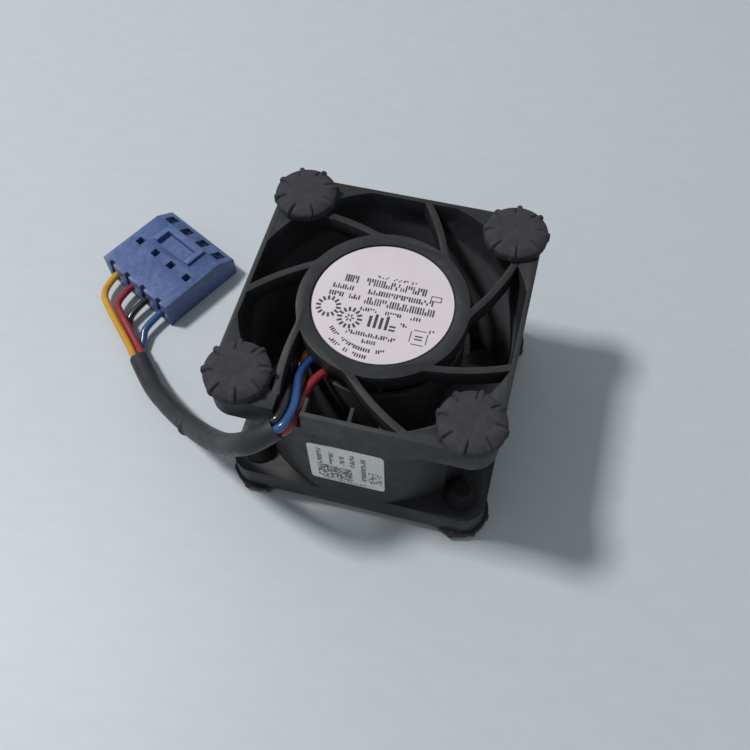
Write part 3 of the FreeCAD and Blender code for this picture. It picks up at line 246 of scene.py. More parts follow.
def moulded(name, base, shade, roughness=(0.4, 0.55), grain_mm=0.12, grain_depth=0.006, blotch_mm=6.0,
            edge_wear_and_highlight=None, edge_wear_and_highlight_amount=0.5, between_flanges_painted_shade=None, painted_duct_light=None, **sockets):
    """A plastic or rubber finish: two near tones in broad blotches, fine grain, and paler edges, which are
    wear on most parts and a painted highlight on the front label. A darker tone, where one is given, is
    painted shade on everything between the frame's top and bottom. A paler tone, where one is given, is
    painted light
    inside the duct that lifts its shade: near the axis and below the struts."""
    n = Nodes(name)
    broad = n.noise(blotch_mm, 4.0)
    tone = n.mix(n.spread(broad, 0.35, 0.65, 0.0, 1.0), base, shade)
    # Painted shade: everything between the frame's top and bottom takes the darker tone.
    if between_flanges_painted_shade:
        middle, half = (FRAME_TOP + FRAME_BOTTOM) / 2, (FRAME_TOP - FRAME_BOTTOM) / 2
        from_middle = n.math("ABSOLUTE", n.math("SUBTRACT", n.height(), middle * MM))
        between = n.spread(from_middle, (half - 0.1) * MM, (half + 0.1) * MM, 1.0, 0.0)
        tone = n.mix(between, tone, between_flanges_painted_shade)
    # Painted light: inside the duct, near the axis and below the struts, a paler tone lifts the shade.
    if painted_duct_light:
        level = n.add("ShaderNodeVectorMath", {0: n.place, 1: (1, 1, 0)}, operation="MULTIPLY").outputs[0]
        reach = n.add("ShaderNodeVectorMath", {0: level}, operation="LENGTH").outputs["Value"]
        inside = n.spread(reach, DUCT_REACH * MM, (DUCT_REACH + 0.4) * MM, 1.0, 0.0)
        below = n.spread(n.height(), (STRUT_HEIGHT - 2) * MM, STRUT_HEIGHT * MM, 1.0, 0.0)
        tone = n.mix(n.math("MULTIPLY", inside, below), tone, painted_duct_light)
    # Paler edges from pointiness: wear on most parts, a painted highlight on the front label.
    if edge_wear_and_highlight:
        wear_and_highlight_mask = n.math("MULTIPLY", n.edges(), n.spread(n.noise(0.9, 5.0), 0.3, 0.7, 0.1, edge_wear_and_highlight_amount))
        tone = n.mix(wear_and_highlight_mask, tone, edge_wear_and_highlight)
    n.link(tone, "Base Color")
    n.link(n.spread(n.noise(blotch_mm * 0.4, 5.0), 0.3, 0.7, *roughness), "Roughness")
    n.link(n.bump(n.noise(grain_mm, 2.0), grain_depth), "Normal")
    for key, value in sockets.items():
        n.shader.inputs[key.replace("_", " ")].default_value = value
    return n.material


# The frame's paler tone inside the duct is painted light.
frame_plastic = moulded("frame_plastic", colour(40, 41, 43), colour(35, 35, 38), (0.46, 0.6), grain_mm=0.10,
                        grain_depth=0.005, edge_wear_and_highlight=colour(84, 86, 90), edge_wear_and_highlight_amount=0.4,
                        painted_duct_light=colour(74, 74, 77), Specular_IOR_Level=0.35)
impeller_plastic = moulded("impeller_plastic", colour(62, 62, 65), colour(54, 54, 57), (0.32, 0.45),
                           grain_mm=0.15, grain_depth=0.004)
# The isolators' darker tone between the flanges is painted shade on their stems and barbs.
isolator_rubber = moulded("isolator_rubber", colour(61, 60, 64), colour(52, 52, 56), (0.75, 0.92),
                          grain_mm=0.16, grain_depth=0.012, blotch_mm=1.6, between_flanges_painted_shade=colour(20, 20, 22),
                          Specular_IOR_Level=0.3)
print("first finishes:", frame_plastic.name, impeller_plastic.name, isolator_rubber.name)

# %% [markdown]
# The lead. Four wires leave the motor's circuit board under the hub, fold over a notch in the frame's wall,
# run side by side through a heat-shrink sleeve and end in the plug. Each wire is one smooth curve, because a
# real wire is one length. The spline only bends towards its control points, so a route needs few of them.

# %% Lead: the sleeve's route
SLEEVE_ROUTE = MM * np.array([
    (-9.0, -21.6, 28.3), (-11.3, -23.4, 27.0), (-14.4, -23.3, 23.6), (-18.6, -21.5, 18.2),
    (-23.8, -18.4, 12.8), (-29.6, -14.6, 8.2), (-35.0, -10.6, 4.8), (-39.4, -7.0, 2.4),
    (-43.3, -2.7, 1.95)])
WIRE_RADIUS = 0.65 * MM
SLEEVE_RADIUS = 1.7 * MM
SLEEVE_WALL = 0.11 * MM


def route_curve(name, points, radius, fineness=14):
    """One open spline that bends towards its control points, thickened to a round section."""
    data = bpy.data.curves.new(name, "CURVE")
    data.dimensions = "3D"
    spline = data.splines.new("NURBS")
    spline.points.add(len(points) - 1)
    spline.points.foreach_set("co", np.hstack([points, np.ones((len(points), 1))]).ravel())
    spline.order_u = 3
    spline.use_endpoint_u = True
    spline.use_smooth = True
    data.resolution_u = fineness
    data.render_resolution_u = fineness
    data.bevel_depth = radius
    data.bevel_resolution = 6
    data.use_fill_caps = True
    piece = bpy.data.objects.new(name, data)
    bpy.context.scene.collection.objects.link(piece)
    return piece


def line_of(points, fineness=14):
    """The points along the spline's own line, read from the curve with no thickness."""
    bare = route_curve("line", points, 0.0, fineness=fineness)
    bare.data.use_fill_caps = False
    mesh = bpy.data.meshes.new_from_object(bare)
    line = np.empty(len(mesh.vertices) * 3)
    mesh.vertices.foreach_get("co", line)
    bpy.data.objects.remove(bare)
    bpy.data.meshes.remove(mesh)
    return line.reshape(-1, 3)


def length_of(line):
    """The sum of the distances between neighbouring points."""
    return float(np.linalg.norm(np.diff(line, axis=0), axis=1).sum())


def walked_along(line):
    """For each point of a line, how far it lies from the start: the running sum of the distances."""
    return np.r_[0, np.cumsum(np.linalg.norm(np.diff(line, axis=0), axis=1))]


def evenly_along(line, count):
    """Points at equal steps along the line, found by walking its length."""
    walked = walked_along(line)
    steps = np.linspace(0, walked[-1], count)
    return np.stack([np.interp(steps, walked, values) for values in line.T], axis=-1)


def frames_along(line):
    """At each point of a line: its direction, a level direction across it, and the third one, which is up."""
    along = np.gradient(line, axis=0)
    along /= np.linalg.norm(along, axis=1)[:, None]
    across = np.cross(along, [0, 0, 1])
    across /= np.linalg.norm(across, axis=1)[:, None]
    return along, across, np.cross(across, along)


sleeve_line = line_of(SLEEVE_ROUTE)
print("sleeve in mm:", round(length_of(sleeve_line) / MM, 1))

# %% [markdown]
# Inside the sleeve the wires lie two over two. Their control points there are points along the sleeve's
# line, moved a fixed step across and up, so each wire has a quarter of the sleeve. At the plug the wires come
# out on the opposite side of the bundle, so on the way the four turn by half a turn, as a rope's strands do.

# %% Lead: four wires, each from the hub to the plug
PLUG_REAR = MM * np.array([-48.7, 10.1, 2.2])
PLUG_ALONG = np.array([0.4648, 0.8854, 0.0])
PLUG_ACROSS = np.array([0.8854, -0.4648, 0.0])
PLUG_PITCH = 4.2 * MM
PLUG_BEND, PLUG_DEPTH = 3.8 * MM, 3.0 * MM
WIRE_STEP = 0.675 * MM
SLEEVE_STATIONS = 33

# For each colour: points under the hub, quarter and last run at the hub's end of the sleeve, first run at the
# plug's end, the point on the way, place in the plug.
WIRES = {
    "yellow": ([(-7.2, -4.6, 25.7), (-9.15, -7.4, 25.72), (-9.1, -10.6, 24.6), (-8.6, -13.6, 25.1),
                (-8.55, -16.0, 26.75), (-8.82, -18.4, 27.42)], (1, -1), 1.05, 4.0, (-51.6, 4.7, 2.5), 0),
    "blue": ([(-5.9, -6.2, 25.7), (-8.2, -8.8, 26.0), (-8.85, -12.2, 27.1), (-7.9, -15.6, 28.45),
              (-7.4, -18.4, 28.95)], (-1, 1), 1.6, 1.8, (-44.3, 1.3, 1.4), 3),
    "red": ([(-3.4, -8.4, 25.7), (-5.6, -10.0, 25.75), (-7.1, -12.9, 26.1), (-7.2, -15.8, 26.85),
             (-7.22, -18.4, 27.45)], (-1, -1), 1.55, 3.0, (-49.65, 4.75, 2.62), 1),
    "black": ([(-8.6, -3.4, 25.7), (-10.3, -6.4, 25.7), (-10.5, -9.8, 25.5), (-9.65, -12.8, 26.0),
               (-9.25, -15.8, 28.0), (-8.8, -18.4, 28.95)], (1, 1), 1.0, 3.5, (-48.1, 3.2, 0.68), 2)}


def wire_route(hub_points, quarter, last_run, first_run, plug_point, place):
    """Control points of one wire: under the hub, a straight run into the sleeve, stations along it moved
    into the wire's quarter, a straight run out of it, and the last bend into its cavity in the plug. The
    quarter (a, b) turned by t is (a cos t - b sin t, a sin t + b cos t), with t up to half a turn."""
    ends = SLEEVE_ROUTE[1] - SLEEVE_ROUTE[0], SLEEVE_ROUTE[-1] - SLEEVE_ROUTE[-2]
    start_along, end_along = (way / np.linalg.norm(way) for way in ends)
    spine = evenly_along(sleeve_line, SLEEVE_STATIONS)
    _, across, above = frames_along(spine)
    t = np.linspace(0, np.pi, len(spine))[:, None]
    sideways = quarter[0] * np.cos(t) - quarter[1] * np.sin(t)
    upwards = quarter[0] * np.sin(t) + quarter[1] * np.cos(t)
    inside = spine + WIRE_STEP * (sideways * across + upwards * above)
    entry = PLUG_REAR + PLUG_ACROSS * PLUG_PITCH * (place - 1.5)
    return np.concatenate([
        MM * np.array(hub_points),
        [inside[0] - start_along * last_run * MM],
        inside,
        [inside[-1] + end_along * first_run * MM],
        [MM * np.array(plug_point)],
        [entry - PLUG_ALONG * PLUG_BEND, entry + PLUG_ALONG * PLUG_DEPTH]])


def wire_finish(name, base, shade):
    """Smooth vinyl: a clear thin coat over the colour, with slow changes of tone along the wire."""
    return moulded(name, base, shade, (0.24, 0.34), grain_mm=0.35, grain_depth=0.006, blotch_mm=4.0,
                   Coat_Weight=0.5, Coat_Roughness=0.12)


WIRE_FINISHES = {
    "yellow": wire_finish("yellow_vinyl", colour(206, 152, 42), colour(194, 138, 34)),
    "blue": wire_finish("blue_vinyl", colour(44, 82, 136), colour(38, 71, 122)),
    "red": wire_finish("red_vinyl", colour(148, 47, 53), colour(134, 40, 47)),
    "black": wire_finish("black_vinyl", colour(30, 32, 36), colour(24, 25, 28))}

for hue, facts in WIRES.items():
    route = wire_route(*facts)
    wire = route_curve(hue + "_wire", route, WIRE_RADIUS)
    wire.data.materials.append(WIRE_FINISHES[hue])
    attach(wire, "stator")
    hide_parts("inner_%s_wire" % hue, "plug_%s_wire" % hue)
    length = length_of(line_of(route))
    print(hue, "wire in mm:", round(length / MM, 1))

# %% [markdown]
# Heat-shrink tube clings to what it covers, so its section isn't quite a circle: it bulges a hair over each
# of the four wires and lies flatter between them. Its wall is thin, and both mouths are open with the wires
# coming out of them. The surface has two parameters, the place along the line and the angle round it.

# %% Lead: the sleeve
# For each crease: how far along the sleeve in millimetres, the side it faces in radians, and its depth, which
# is negative for a raised fold.
CREASES = ((7.5, 4.2, 0.10), (9.2, 4.0, 0.07), (26.7, 3.0, 0.10), (27.5, 3.1, -0.34), (28.4, 2.9, 0.12))
CREASE_LENGTH, CREASE_ANGLE = 0.35, 0.8
SLEEVE_DIP = 0.05 * MM
SLEEVE_SIDES = 64


def sleeve_skin(line, angle, reach):
    """Each point is the line's own point, plus the reach times cosine of the angle across it and sine of the
    angle above it."""
    _, across, above = frames_along(line)
    offset = np.cos(angle)[None, :, None] * across[:, None] + np.sin(angle)[None, :, None] * above[:, None]
    return line[:, None] + reach[..., None] * offset


def sleeve_mesh(line):
    """Outer and inner skin of the sleeve, joined at both mouths. The outer reach is the radius less a small
    four-fold dip that turns with the wires. Where the tube was bent it has shallow creases and a raised fold.
    Each is a bell curve along the line times a bell curve round it."""
    angle = np.linspace(0, TAU, SLEEVE_SIDES, endpoint=False)
    walked = walked_along(line)[:, None]
    turned = np.pi * walked / walked[-1]
    dip = SLEEVE_DIP * (0.5 + 0.5 * np.cos(4 * (angle - turned)))
    crease = np.zeros((len(line), len(angle)))
    for place, side, depth in CREASES:
        along = np.exp(-((walked / MM - place) / CREASE_LENGTH) ** 2)
        round_it = np.exp(-(np.angle(np.exp(1j * (angle - side))) / CREASE_ANGLE) ** 2)
        crease = crease + depth * MM * along * round_it
    outer = SLEEVE_RADIUS - dip - crease
    inner = outer - SLEEVE_WALL
    skins = [sleeve_skin(line, angle, reach) for reach in (outer, inner)]
    # Out along the outer skin and back along the inner one makes one closed band.
    band = np.concatenate([skins[0], skins[1][::-1]])
    return mesh_from("sleeve", band, loop_columns=True, smooth_angle=50)


sleeve_finish = moulded("heat_shrink", colour(43, 44, 48), colour(35, 37, 41), (0.38, 0.55), grain_mm=0.2,
                        grain_depth=0.008, blotch_mm=5.0, edge_wear_and_highlight=colour(76, 78, 84), edge_wear_and_highlight_amount=0.3,
                        Specular_IOR_Level=0.4)
both_skins = sleeve_mesh(line_of(SLEEVE_ROUTE, fineness=40))
sleeve = add_piece("lead_sleeve_skin", both_skins, sleeve_finish, "stator", ["lead_sleeve"])
print("sleeve faces:", len(sleeve.data.polygons))

# %% [markdown]
# The isolators are soft rubber pins, pulled through the flange holes until a barb snaps behind the flange.
# The head is one surface turned about the pin's axis. Eight low ribs stand on its sloping rim, each with a
# slit beside it, so the profile isn't the same all round: at a rib it stays higher and runs a little further
# out, in a slit it dips, and everywhere else it follows the slope.

# %% Isolators: surface
# In millimetres, but for the number of ribs and the share of the rib profile that they reach.
HEAD_RADIUS, HEAD_CROWN, HEAD_EDGE, HEAD_TOP = 4.66, 3.6, 1.25, 2.0
RIB_REACH, RIB_COUNT, RIB_WIDTH, RIB_SHARE = 4.97, 8, 0.8, 0.75
SLIT_WIDTH, SLIT_DEPTH, SLIT_FROM, SLIT_TO = 0.3, 0.36, 3.0, 4.5
NECK_RADIUS, BARB_RADIUS, SHANK_RADIUS = 2.0, 2.5, 1.6
FLANGE, BARB_GAP, BARB, TAIL = 4.7, 0.1, 2.0, 1.0
# Points along a profile, and points from one rib to the next.
PROFILE_STEPS, RIB_STEPS = 46, 32


def soft_step(value, low, high):
    """Zero below low, one above high, and three t squared less two t cubed between them."""
    t = np.clip((value - low) / (high - low), 0, 1)
    return t * t * (3 - 2 * t)


def isolator_points(turned):
    """Points around and along an isolator whose flange face is at height zero. The plain profile goes from
    the crown over the slope to the rim; the rib profile stays at the crown's height and drops at the rib's
    end. Each point mixes the two by how near its angle is to a rib, and a slit sinks beside each rib. Turned
    by an angle, a profile's point lies at (reach cosine of the angle, reach sine of the angle, height)."""
    plain = rounded_profile([
        (0, HEAD_TOP), (2.4, HEAD_TOP - 0.03), (HEAD_CROWN, HEAD_TOP - 0.06), (HEAD_RADIUS, HEAD_EDGE),
        (HEAD_RADIUS, 0.0), (NECK_RADIUS, 0.0)], [0, 1, 0.7, 0.35, 0.12, 0], 6)
    ribbed = rounded_profile([
        (0, HEAD_TOP), (2.4, HEAD_TOP - 0.03), (RIB_REACH - 0.9, HEAD_TOP), (RIB_REACH, HEAD_TOP - 0.28),
        (RIB_REACH, 0.3), (NECK_RADIUS, 0.0)], [0, 1, 0.9, 0.45, 0.1, 0], 6)
    stem = rounded_profile([
        (NECK_RADIUS, 0.0), (NECK_RADIUS, -FLANGE - BARB_GAP), (BARB_RADIUS, -FLANGE - BARB_GAP),
        (BARB_RADIUS - 0.06, -FLANGE - BARB_GAP - 0.35), (SHANK_RADIUS, -FLANGE - BARB_GAP - BARB),
        (SHANK_RADIUS, -FLANGE - BARB_GAP - BARB - TAIL), (0, -FLANGE - BARB_GAP - BARB - TAIL)],
        [0, 0.12, 0.15, 0.2, 0.4, 0.5, 0], 4)
    angle = np.linspace(0, TAU, RIB_COUNT * RIB_STEPS, endpoint=False)[:, None]
    nearest = np.angle(np.exp(1j * (angle * RIB_COUNT))) / RIB_COUNT
    # Along both profiles lie the same number of points, so that they can be mixed point by point.
    plain, ribbed = (evenly_along(profile, PROFILE_STEPS) for profile in (plain, ribbed))
    reach = plain[None, :, 0]
    on_top = np.linspace(0, 1, PROFILE_STEPS) < 0.62
    aside = nearest * np.maximum(reach, 0.5)
    rib = 1 - soft_step(np.abs(aside), RIB_WIDTH * 0.3, RIB_WIDTH * 0.6)
    # Past the top the reach counts as a millimetre more, so the rib runs on down the side.
    rib = RIB_SHARE * rib * soft_step(reach + ~on_top, 2.9, 3.5)
    head = plain[None] * (1 - rib[..., None]) + ribbed[None] * rib[..., None]
    slit = np.exp(-((aside - RIB_WIDTH / 2) / (SLIT_WIDTH / 2)) ** 2) * on_top
    slit = slit * soft_step(reach, SLIT_FROM - 0.15, SLIT_FROM + 0.15)
    slit = slit * (1 - soft_step(reach, SLIT_TO - 0.1, SLIT_TO + 0.2))
    head[..., 1] -= SLIT_DEPTH * slit
    whole = np.concatenate([head, np.broadcast_to(stem, (len(angle), *stem.shape))], axis=1)
    return np.stack([whole[..., 0] * np.cos(angle + turned), whole[..., 0] * np.sin(angle + turned),
                     whole[..., 1]], axis=-1)


# %% [markdown]
# Eight of them sit in the two flanges, each pressed in at its own turn. The lower ones are the same shape
# upside down, which is a half turn about a level axis and not a mirror image, so their faces stay right.

# %% Isolators: eight pieces
# For each corner: its side in x and in y, and how far the isolator is turned, in degrees.
CORNERS = {"front_left": (-1, -1, 12.0), "front_right": (1, -1, 40.0),
           "back_left": (-1, 1, 25.0), "back_right": (1, 1, 4.0)}
HOLE_REACH = 16.0

for corner, (x_side, y_side, turned) in CORNERS.items():
    for level_name, height, flip, spin in (("upper", FRAME_TOP, 1, turned),
                                           ("lower", FRAME_BOTTOM, -1, turned + 9)):
        points = isolator_points(np.radians(spin)) * [1, flip, flip]
        points = (points + [x_side * HOLE_REACH, y_side * HOLE_REACH, height]) * MM
        node = "%s_isolator_%s" % (level_name, corner)
        rubber = mesh_from(node, points, smooth_angle=60)
        add_piece(node + "_rubber", rubber, isolator_rubber, "stator", [node])
print("points on one isolator:", points.shape[0] * points.shape[1])

# %% [markdown]
# The frame, the plug and the impeller are mouldings. Their shape is already right in the construction model,
# but its mesh is loose triangles with razor edges, and a real moulding has edges rounded by a tenth of a
# millimetre that catch the light. So we take a copy, weld it, join flat triangles back into whole faces, and
# give the edges a narrow bevel.

# %% Soft-edged copies of mouldings
COPY_WELD = 2e-7
FLAT_ANGLE, EDGE_ANGLE = np.radians(0.4), np.radians(30)


def soft_edged(node, name, width_mm, material, body):
    """A welded copy of a CAD node, its sharp edges rounded to that width."""
    mesh = nodes[node].data.copy()
    mesh.name = name
    work = bmesh.new()
    work.from_mesh(mesh)
    bmesh.ops.remove_doubles(work, verts=work.verts, dist=COPY_WELD)
    bmesh.ops.dissolve_limit(work, angle_limit=FLAT_ANGLE, verts=work.verts, edges=work.edges)
    work.to_mesh(mesh)
    work.free()
    mesh.shade_smooth()
    piece = add_piece(name, mesh, material, body, [node])
    bevel = piece.modifiers.new("soft edges", "BEVEL")
    bevel.width = width_mm * MM
    bevel.segments = 2
    bevel.limit_method = "ANGLE"
    bevel.angle_limit = EDGE_ANGLE
    bevel.harden_normals = True
    bevel.use_clamp_overlap = True
    return piece


frame_shell = soft_edged("frame", "fan_frame", 0.12, frame_plastic, "stator")
plug_plastic = moulded("plug_plastic", colour(66, 86, 134), colour(61, 80, 126), (0.36, 0.48), grain_mm=0.12,
                       grain_depth=0.004, blotch_mm=5.0, edge_wear_and_highlight=colour(112, 132, 178), Specular_IOR_Level=0.4)
plug = soft_edged("plug_housing", "plug_shell", 0.12, plug_plastic, "stator")
soft_edged("impeller", "impeller_blades", 0.1, impeller_plastic, "rotor")
print("frame corners:", len(frame_shell.data.vertices), "plug corners:", len(plug.data.vertices))

# %% [markdown]
# What is left of the construction model keeps its own mesh and gets a finish of its own: steel, brass, copper
# wire, board, magnet and the rest of the motor.

# %% Finishes of the motor
def metal(name, base, shade, roughness=(0.25, 0.4), brush=(1.0, 1.0, 30.0), size_mm=0.6, depth=0.003):
    """Turned or drawn metal: fine lines along one direction, from noise squeezed across it."""
    n = Nodes(name)
    lines = n.noise(size_mm, 4.0, 0.6, brush)
    n.link(n.mix(n.spread(lines, 0.35, 0.65, 0.0, 1.0), base, shade), "Base Color")
    n.shader.inputs["Metallic"].default_value = 1.0
    n.link(n.spread(lines, 0.3, 0.7, *roughness), "Roughness")
    n.link(n.bump(lines, depth), "Normal")
    return n.material


FINISHES = {
    "turned_brass": metal("turned_brass", colour(205, 172, 100), colour(178, 144, 78), brush=(1, 1, 18)),
    "bearing_steel": metal("bearing_steel", colour(205, 206, 208), colour(180, 182, 186)),
    "cup_steel": metal("cup_steel", colour(150, 151, 155), colour(126, 128, 132), (0.35, 0.55),
                       brush=(1, 1, 0.08)),
    "core_steel": metal("core_steel", colour(128, 130, 138), colour(100, 102, 108), (0.35, 0.5),
                        brush=(0.2, 0.2, 12)),
    "tinned_metal": metal("tinned_metal", colour(214, 212, 205), colour(190, 187, 178), (0.2, 0.35)),
    "magnet": moulded("magnet", colour(58, 54, 52), colour(46, 43, 42), (0.5, 0.7), grain_mm=0.25,
                      grain_depth=0.01),
    "insulator_plastic": moulded("insulator_plastic", colour(222, 216, 200), colour(205, 198, 180),
                                 (0.35, 0.5)),
    "enamelled_copper": metal("enamelled_copper", colour(196, 98, 48), colour(150, 70, 34), (0.2, 0.32),
                              brush=(1, 1, 1)),
    "board_laminate": moulded("board_laminate", colour(30, 96, 58), colour(24, 80, 48), (0.25, 0.4),
                              grain_mm=0.5, grain_depth=0.01),
    "chip_plastic": moulded("chip_plastic", colour(36, 36, 39), colour(30, 30, 32), (0.5, 0.65),
                            grain_mm=0.08, grain_depth=0.006),
    "capacitor_ceramic": moulded("capacitor_ceramic", colour(186, 148, 102), colour(165, 128, 86),
                                 (0.45, 0.6)),
    "hub_label_paper": moulded("hub_label_paper", colour(214, 206, 209), colour(208, 199, 203), (0.35, 0.45),
                               grain_mm=0.4, grain_depth=0.002)}
slot_of = {part["node"]: part["material_slot"] for part in frame["record"]["subparts"]}
dressed = {name: FINISHES[slot_of[name]] for name in nodes if slot_of[name] in FINISHES}
for name, finish in dressed.items():
    nodes[name].data.materials.clear()
    nodes[name].data.materials.append(finish)
print("nodes that keep their own mesh:", len(dressed))

# %% [markdown]
# Both labels carry print: rows of small upright strokes, a few bars, rings of ticks and fields of dots. Each
# mark is a thin block of ink that stands a hundredth of a millimetre off the label, and all the blocks of a
# label are one mesh. We list the marks as numbers - centre, width, height, turn - and lift them all at once.
# The round label is the node's own mesh, and the small one on the front is a film with round corners.

# %% Print on the labels
X_AXIS, Y_AXIS, Z_AXIS = np.eye(3)
INK_ABOVE, INK_BELOW = 0.012 * MM, 0.01 * MM
STROKE_PITCH = 0.36
BLOCK_FACES = np.array([(0, 3, 2, 1), (4, 5, 6, 7), (0, 1, 5, 4), (1, 2, 6, 5), (2, 3, 7, 6), (3, 0, 4, 7)])
STICKER_LIFT, STICKER_CORNER = 1.1 * MM, 0.7 * MM
CORNER_STEPS = 9


def ink_mesh(name, marks, centre, across, upwards):
    """Blocks of ink on a flat label. For a mark at (u, v) with half sizes a and b, turned by t, a corner
    lies at (u + a cos t - b sin t, v + a sin t + b cos t), with either sign of a and b, and once below the
    surface and once above it."""
    u, v, width, height, t = np.asarray(marks, float).T[:, :, None]
    a = np.array([-1, 1, 1, -1]) * width / 2
    b = np.array([-1, -1, 1, 1]) * height / 2
    flat = np.stack([u + a * np.cos(t) - b * np.sin(t), v + a * np.sin(t) + b * np.cos(t)], axis=-1) * MM
    normal = np.cross(across, upwards)
    surface = centre + flat[..., :1] * across + flat[..., 1:] * upwards
    corners = np.concatenate([surface - INK_BELOW * normal, surface + INK_ABOVE * normal], axis=1)
    faces = (BLOCK_FACES[None] + 8 * np.arange(len(flat))[:, None, None]).reshape(-1, 4)
    mesh = bpy.data.meshes.new(name)
    mesh.from_pydata(corners.reshape(-1, 3), [], faces)
    return mesh


def strokes(start, end, height, seed):
    """A row of strokes from start to end, about a pitch apart. Their widths vary a little, and some are half
    as high and stand on the line or hang from its top, so that the row reads as print from afar."""
    (x0, y0), (x1, y1) = start, end
    count = max(2, int(round(np.hypot(x1 - x0, y1 - y0) / STROKE_PITCH)))
    random = np.random.default_rng(seed + count)
    place = (np.arange(count) + 0.5) / count
    kind = random.integers(0, 5, count)
    tall = np.where(kind < 3, height, height * 0.5)
    shift = np.select([kind == 3, kind == 4], [-height / 4, height / 4], 0.0)
    wide = random.uniform(0.18, 0.27, count)
    turn = np.full(count, np.arctan2(y1 - y0, x1 - x0))
    x = x0 + (x1 - x0) * place - np.sin(turn) * shift
    y = y0 + (y1 - y0) * place + np.cos(turn) * shift
    return np.stack([x, y, wide, tall, turn], axis=-1)


def bent_strokes(reach, first, last, height, seed):
    """The same along the rim, from the first angle to the last, in degrees. Each stroke stands at (reach
    cosine a, reach sine a) and points to the middle."""
    row = strokes((reach * np.radians(first), 0), (reach * np.radians(last), 0), height, seed)
    angle, reach = row[:, 0] / reach, reach - row[:, 1]
    return np.stack([reach * np.cos(angle), reach * np.sin(angle), row[:, 2], row[:, 3], angle + np.pi / 2],
                    axis=-1)


def dial(x, y, reach, count, width, height):
    """A ring of ticks that point to its middle, each at (x + reach cosine a, y + reach sine a)."""
    angle = np.arange(count) * TAU / count
    wide, tall = np.full(count, width), np.full(count, height)
    return np.stack([x + reach * np.cos(angle), y + reach * np.sin(angle), wide, tall, angle + np.pi / 2],
                    axis=-1)


def dots(left, bottom, columns, rows, pitch, share, seed):
    """A field of square dots on a grid, of which that share is printed."""
    column, row = np.meshgrid(np.arange(columns), np.arange(rows))
    kept = np.random.default_rng(seed).random(column.shape) < share
    x, y = left + pitch * column[kept], bottom + pitch * row[kept]
    size = np.full(len(x), pitch * 0.86)
    return np.stack([x, y, size, size, np.zeros(len(x))], axis=-1)


# For each row: where it starts, where it ends, how high its strokes are.
hub_rows = [
    ((-6.3, 3.1), (-4.3, 3.1), 1.25), ((-3.2, 3.1), (5.7, 3.1), 1.25), ((-7.7, 1.45), (-4.6, 1.45), 0.8),
    ((-2.5, 1.45), (7.0, 1.45), 0.85), ((-7.9, 0.1), (-5.7, 0.1), 0.8), ((-5.0, 0.1), (-3.3, 0.1), 0.8),
    ((-2.7, -0.1), (7.5, -0.1), 1.2), ((-2.9, -1.6), (-0.4, -1.6), 0.6), ((0.7, -1.6), (3.1, -1.6), 0.6),
    ((4.3, -1.6), (5.9, -1.6), 0.6), ((3.2, -3.0), (4.3, -3.0), 0.6), ((7.3, -3.2), (8.2, -3.2), 0.6),
    ((-3.9, -5.7), (3.2, -5.7), 0.66), ((-1.3, -6.8), (0.7, -6.8), 0.6)]
hub_marks = [strokes(start, end, height, seed=7 * k) for k, (start, end, height) in enumerate(hub_rows)]
rim_rows = ((8.15, ((222, 235), (239, 272), (277, 286))), (9.25, ((232, 244), (248, 253), (257, 270))))
hub_marks += [bent_strokes(reach, first, last, 0.6, seed=first) for reach, spans in rim_rows
              for first, last in spans]
hub_marks += [dial(-7.3, -2.3, reach=1.45, count=14, width=0.34, height=0.72),
              dial(-3.9, -3.5, reach=1.45, count=14, width=0.34, height=0.72),
              dial(-3.9, -3.5, reach=0.45, count=6, width=0.22, height=0.4),
              dial(6.2, -4.5, reach=1.15, count=4, width=1.75, height=0.14),
              dots(-2.2, 4.15, columns=26, rows=2, pitch=0.24, share=0.45, seed=4)]
# Plain bars: centre, width, height, turn.
hub_marks += [[(-1.0, -3.4, 0.42, 1.9, 0), (-0.2, -3.2, 0.42, 2.3, 0), (0.6, -3.4, 0.42, 1.9, 0),
               (1.4, -3.2, 0.42, 2.3, 0), (2.3, -4.2, 0.9, 0.3, 0), (2.3, -3.6, 0.9, 0.3, 0),
               (6.2, -4.3, 1.1, 0.22, 0), (6.2, -4.8, 1.1, 0.22, 0), (7.2, 2.75, 1.5, 0.14, 0),
               (7.2, 1.95, 1.5, 0.14, 0), (6.48, 2.35, 0.14, 0.8, 0), (7.92, 2.35, 0.14, 0.8, 0)]]
ink = moulded("printing_ink", colour(66, 62, 67), colour(56, 53, 58), (0.45, 0.6), grain_mm=0.3,
              grain_depth=0.002)
hub_low, hub_high = (np.array(corner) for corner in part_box("hub_label"))
hub_centre = np.array([*(hub_low + hub_high)[:2] / 2, hub_high[2]])
hub_print = ink_mesh("hub_print", np.concatenate(hub_marks), hub_centre, X_AXIS, Y_AXIS)
add_piece("hub_label_print", hub_print, ink, "stator")
print("marks on the round label:", sum(map(len, hub_marks)))


def plate_mesh(name, low, high, radius):
    """A thin upright plate with round corners. Its outline goes round four corners, each a quarter turn about
    its own centre, and is drawn at the back and at the front, between the two middles."""
    angle = (np.arange(4)[:, None] * TAU / 4 + np.linspace(0, TAU / 4, CORNER_STEPS)).ravel()
    sides = np.repeat([(1, 1), (-1, 1), (-1, -1), (1, -1)], CORNER_STEPS, axis=0)
    middle, half = (low + high) / 2, (high - low) / 2
    outline = sides * (half[[0, 2]] - radius) + radius * np.stack([np.cos(angle), np.sin(angle)], axis=-1)
    share = np.array([0, 1, 1, 0])[None, :, None]
    flat = middle[[0, 2]] + share * outline[:, None]
    depth = np.broadcast_to([high[1], high[1], low[1], low[1]], flat.shape[:2])
    return mesh_from(name, np.stack([flat[..., 0], depth, flat[..., 1]], axis=-1))


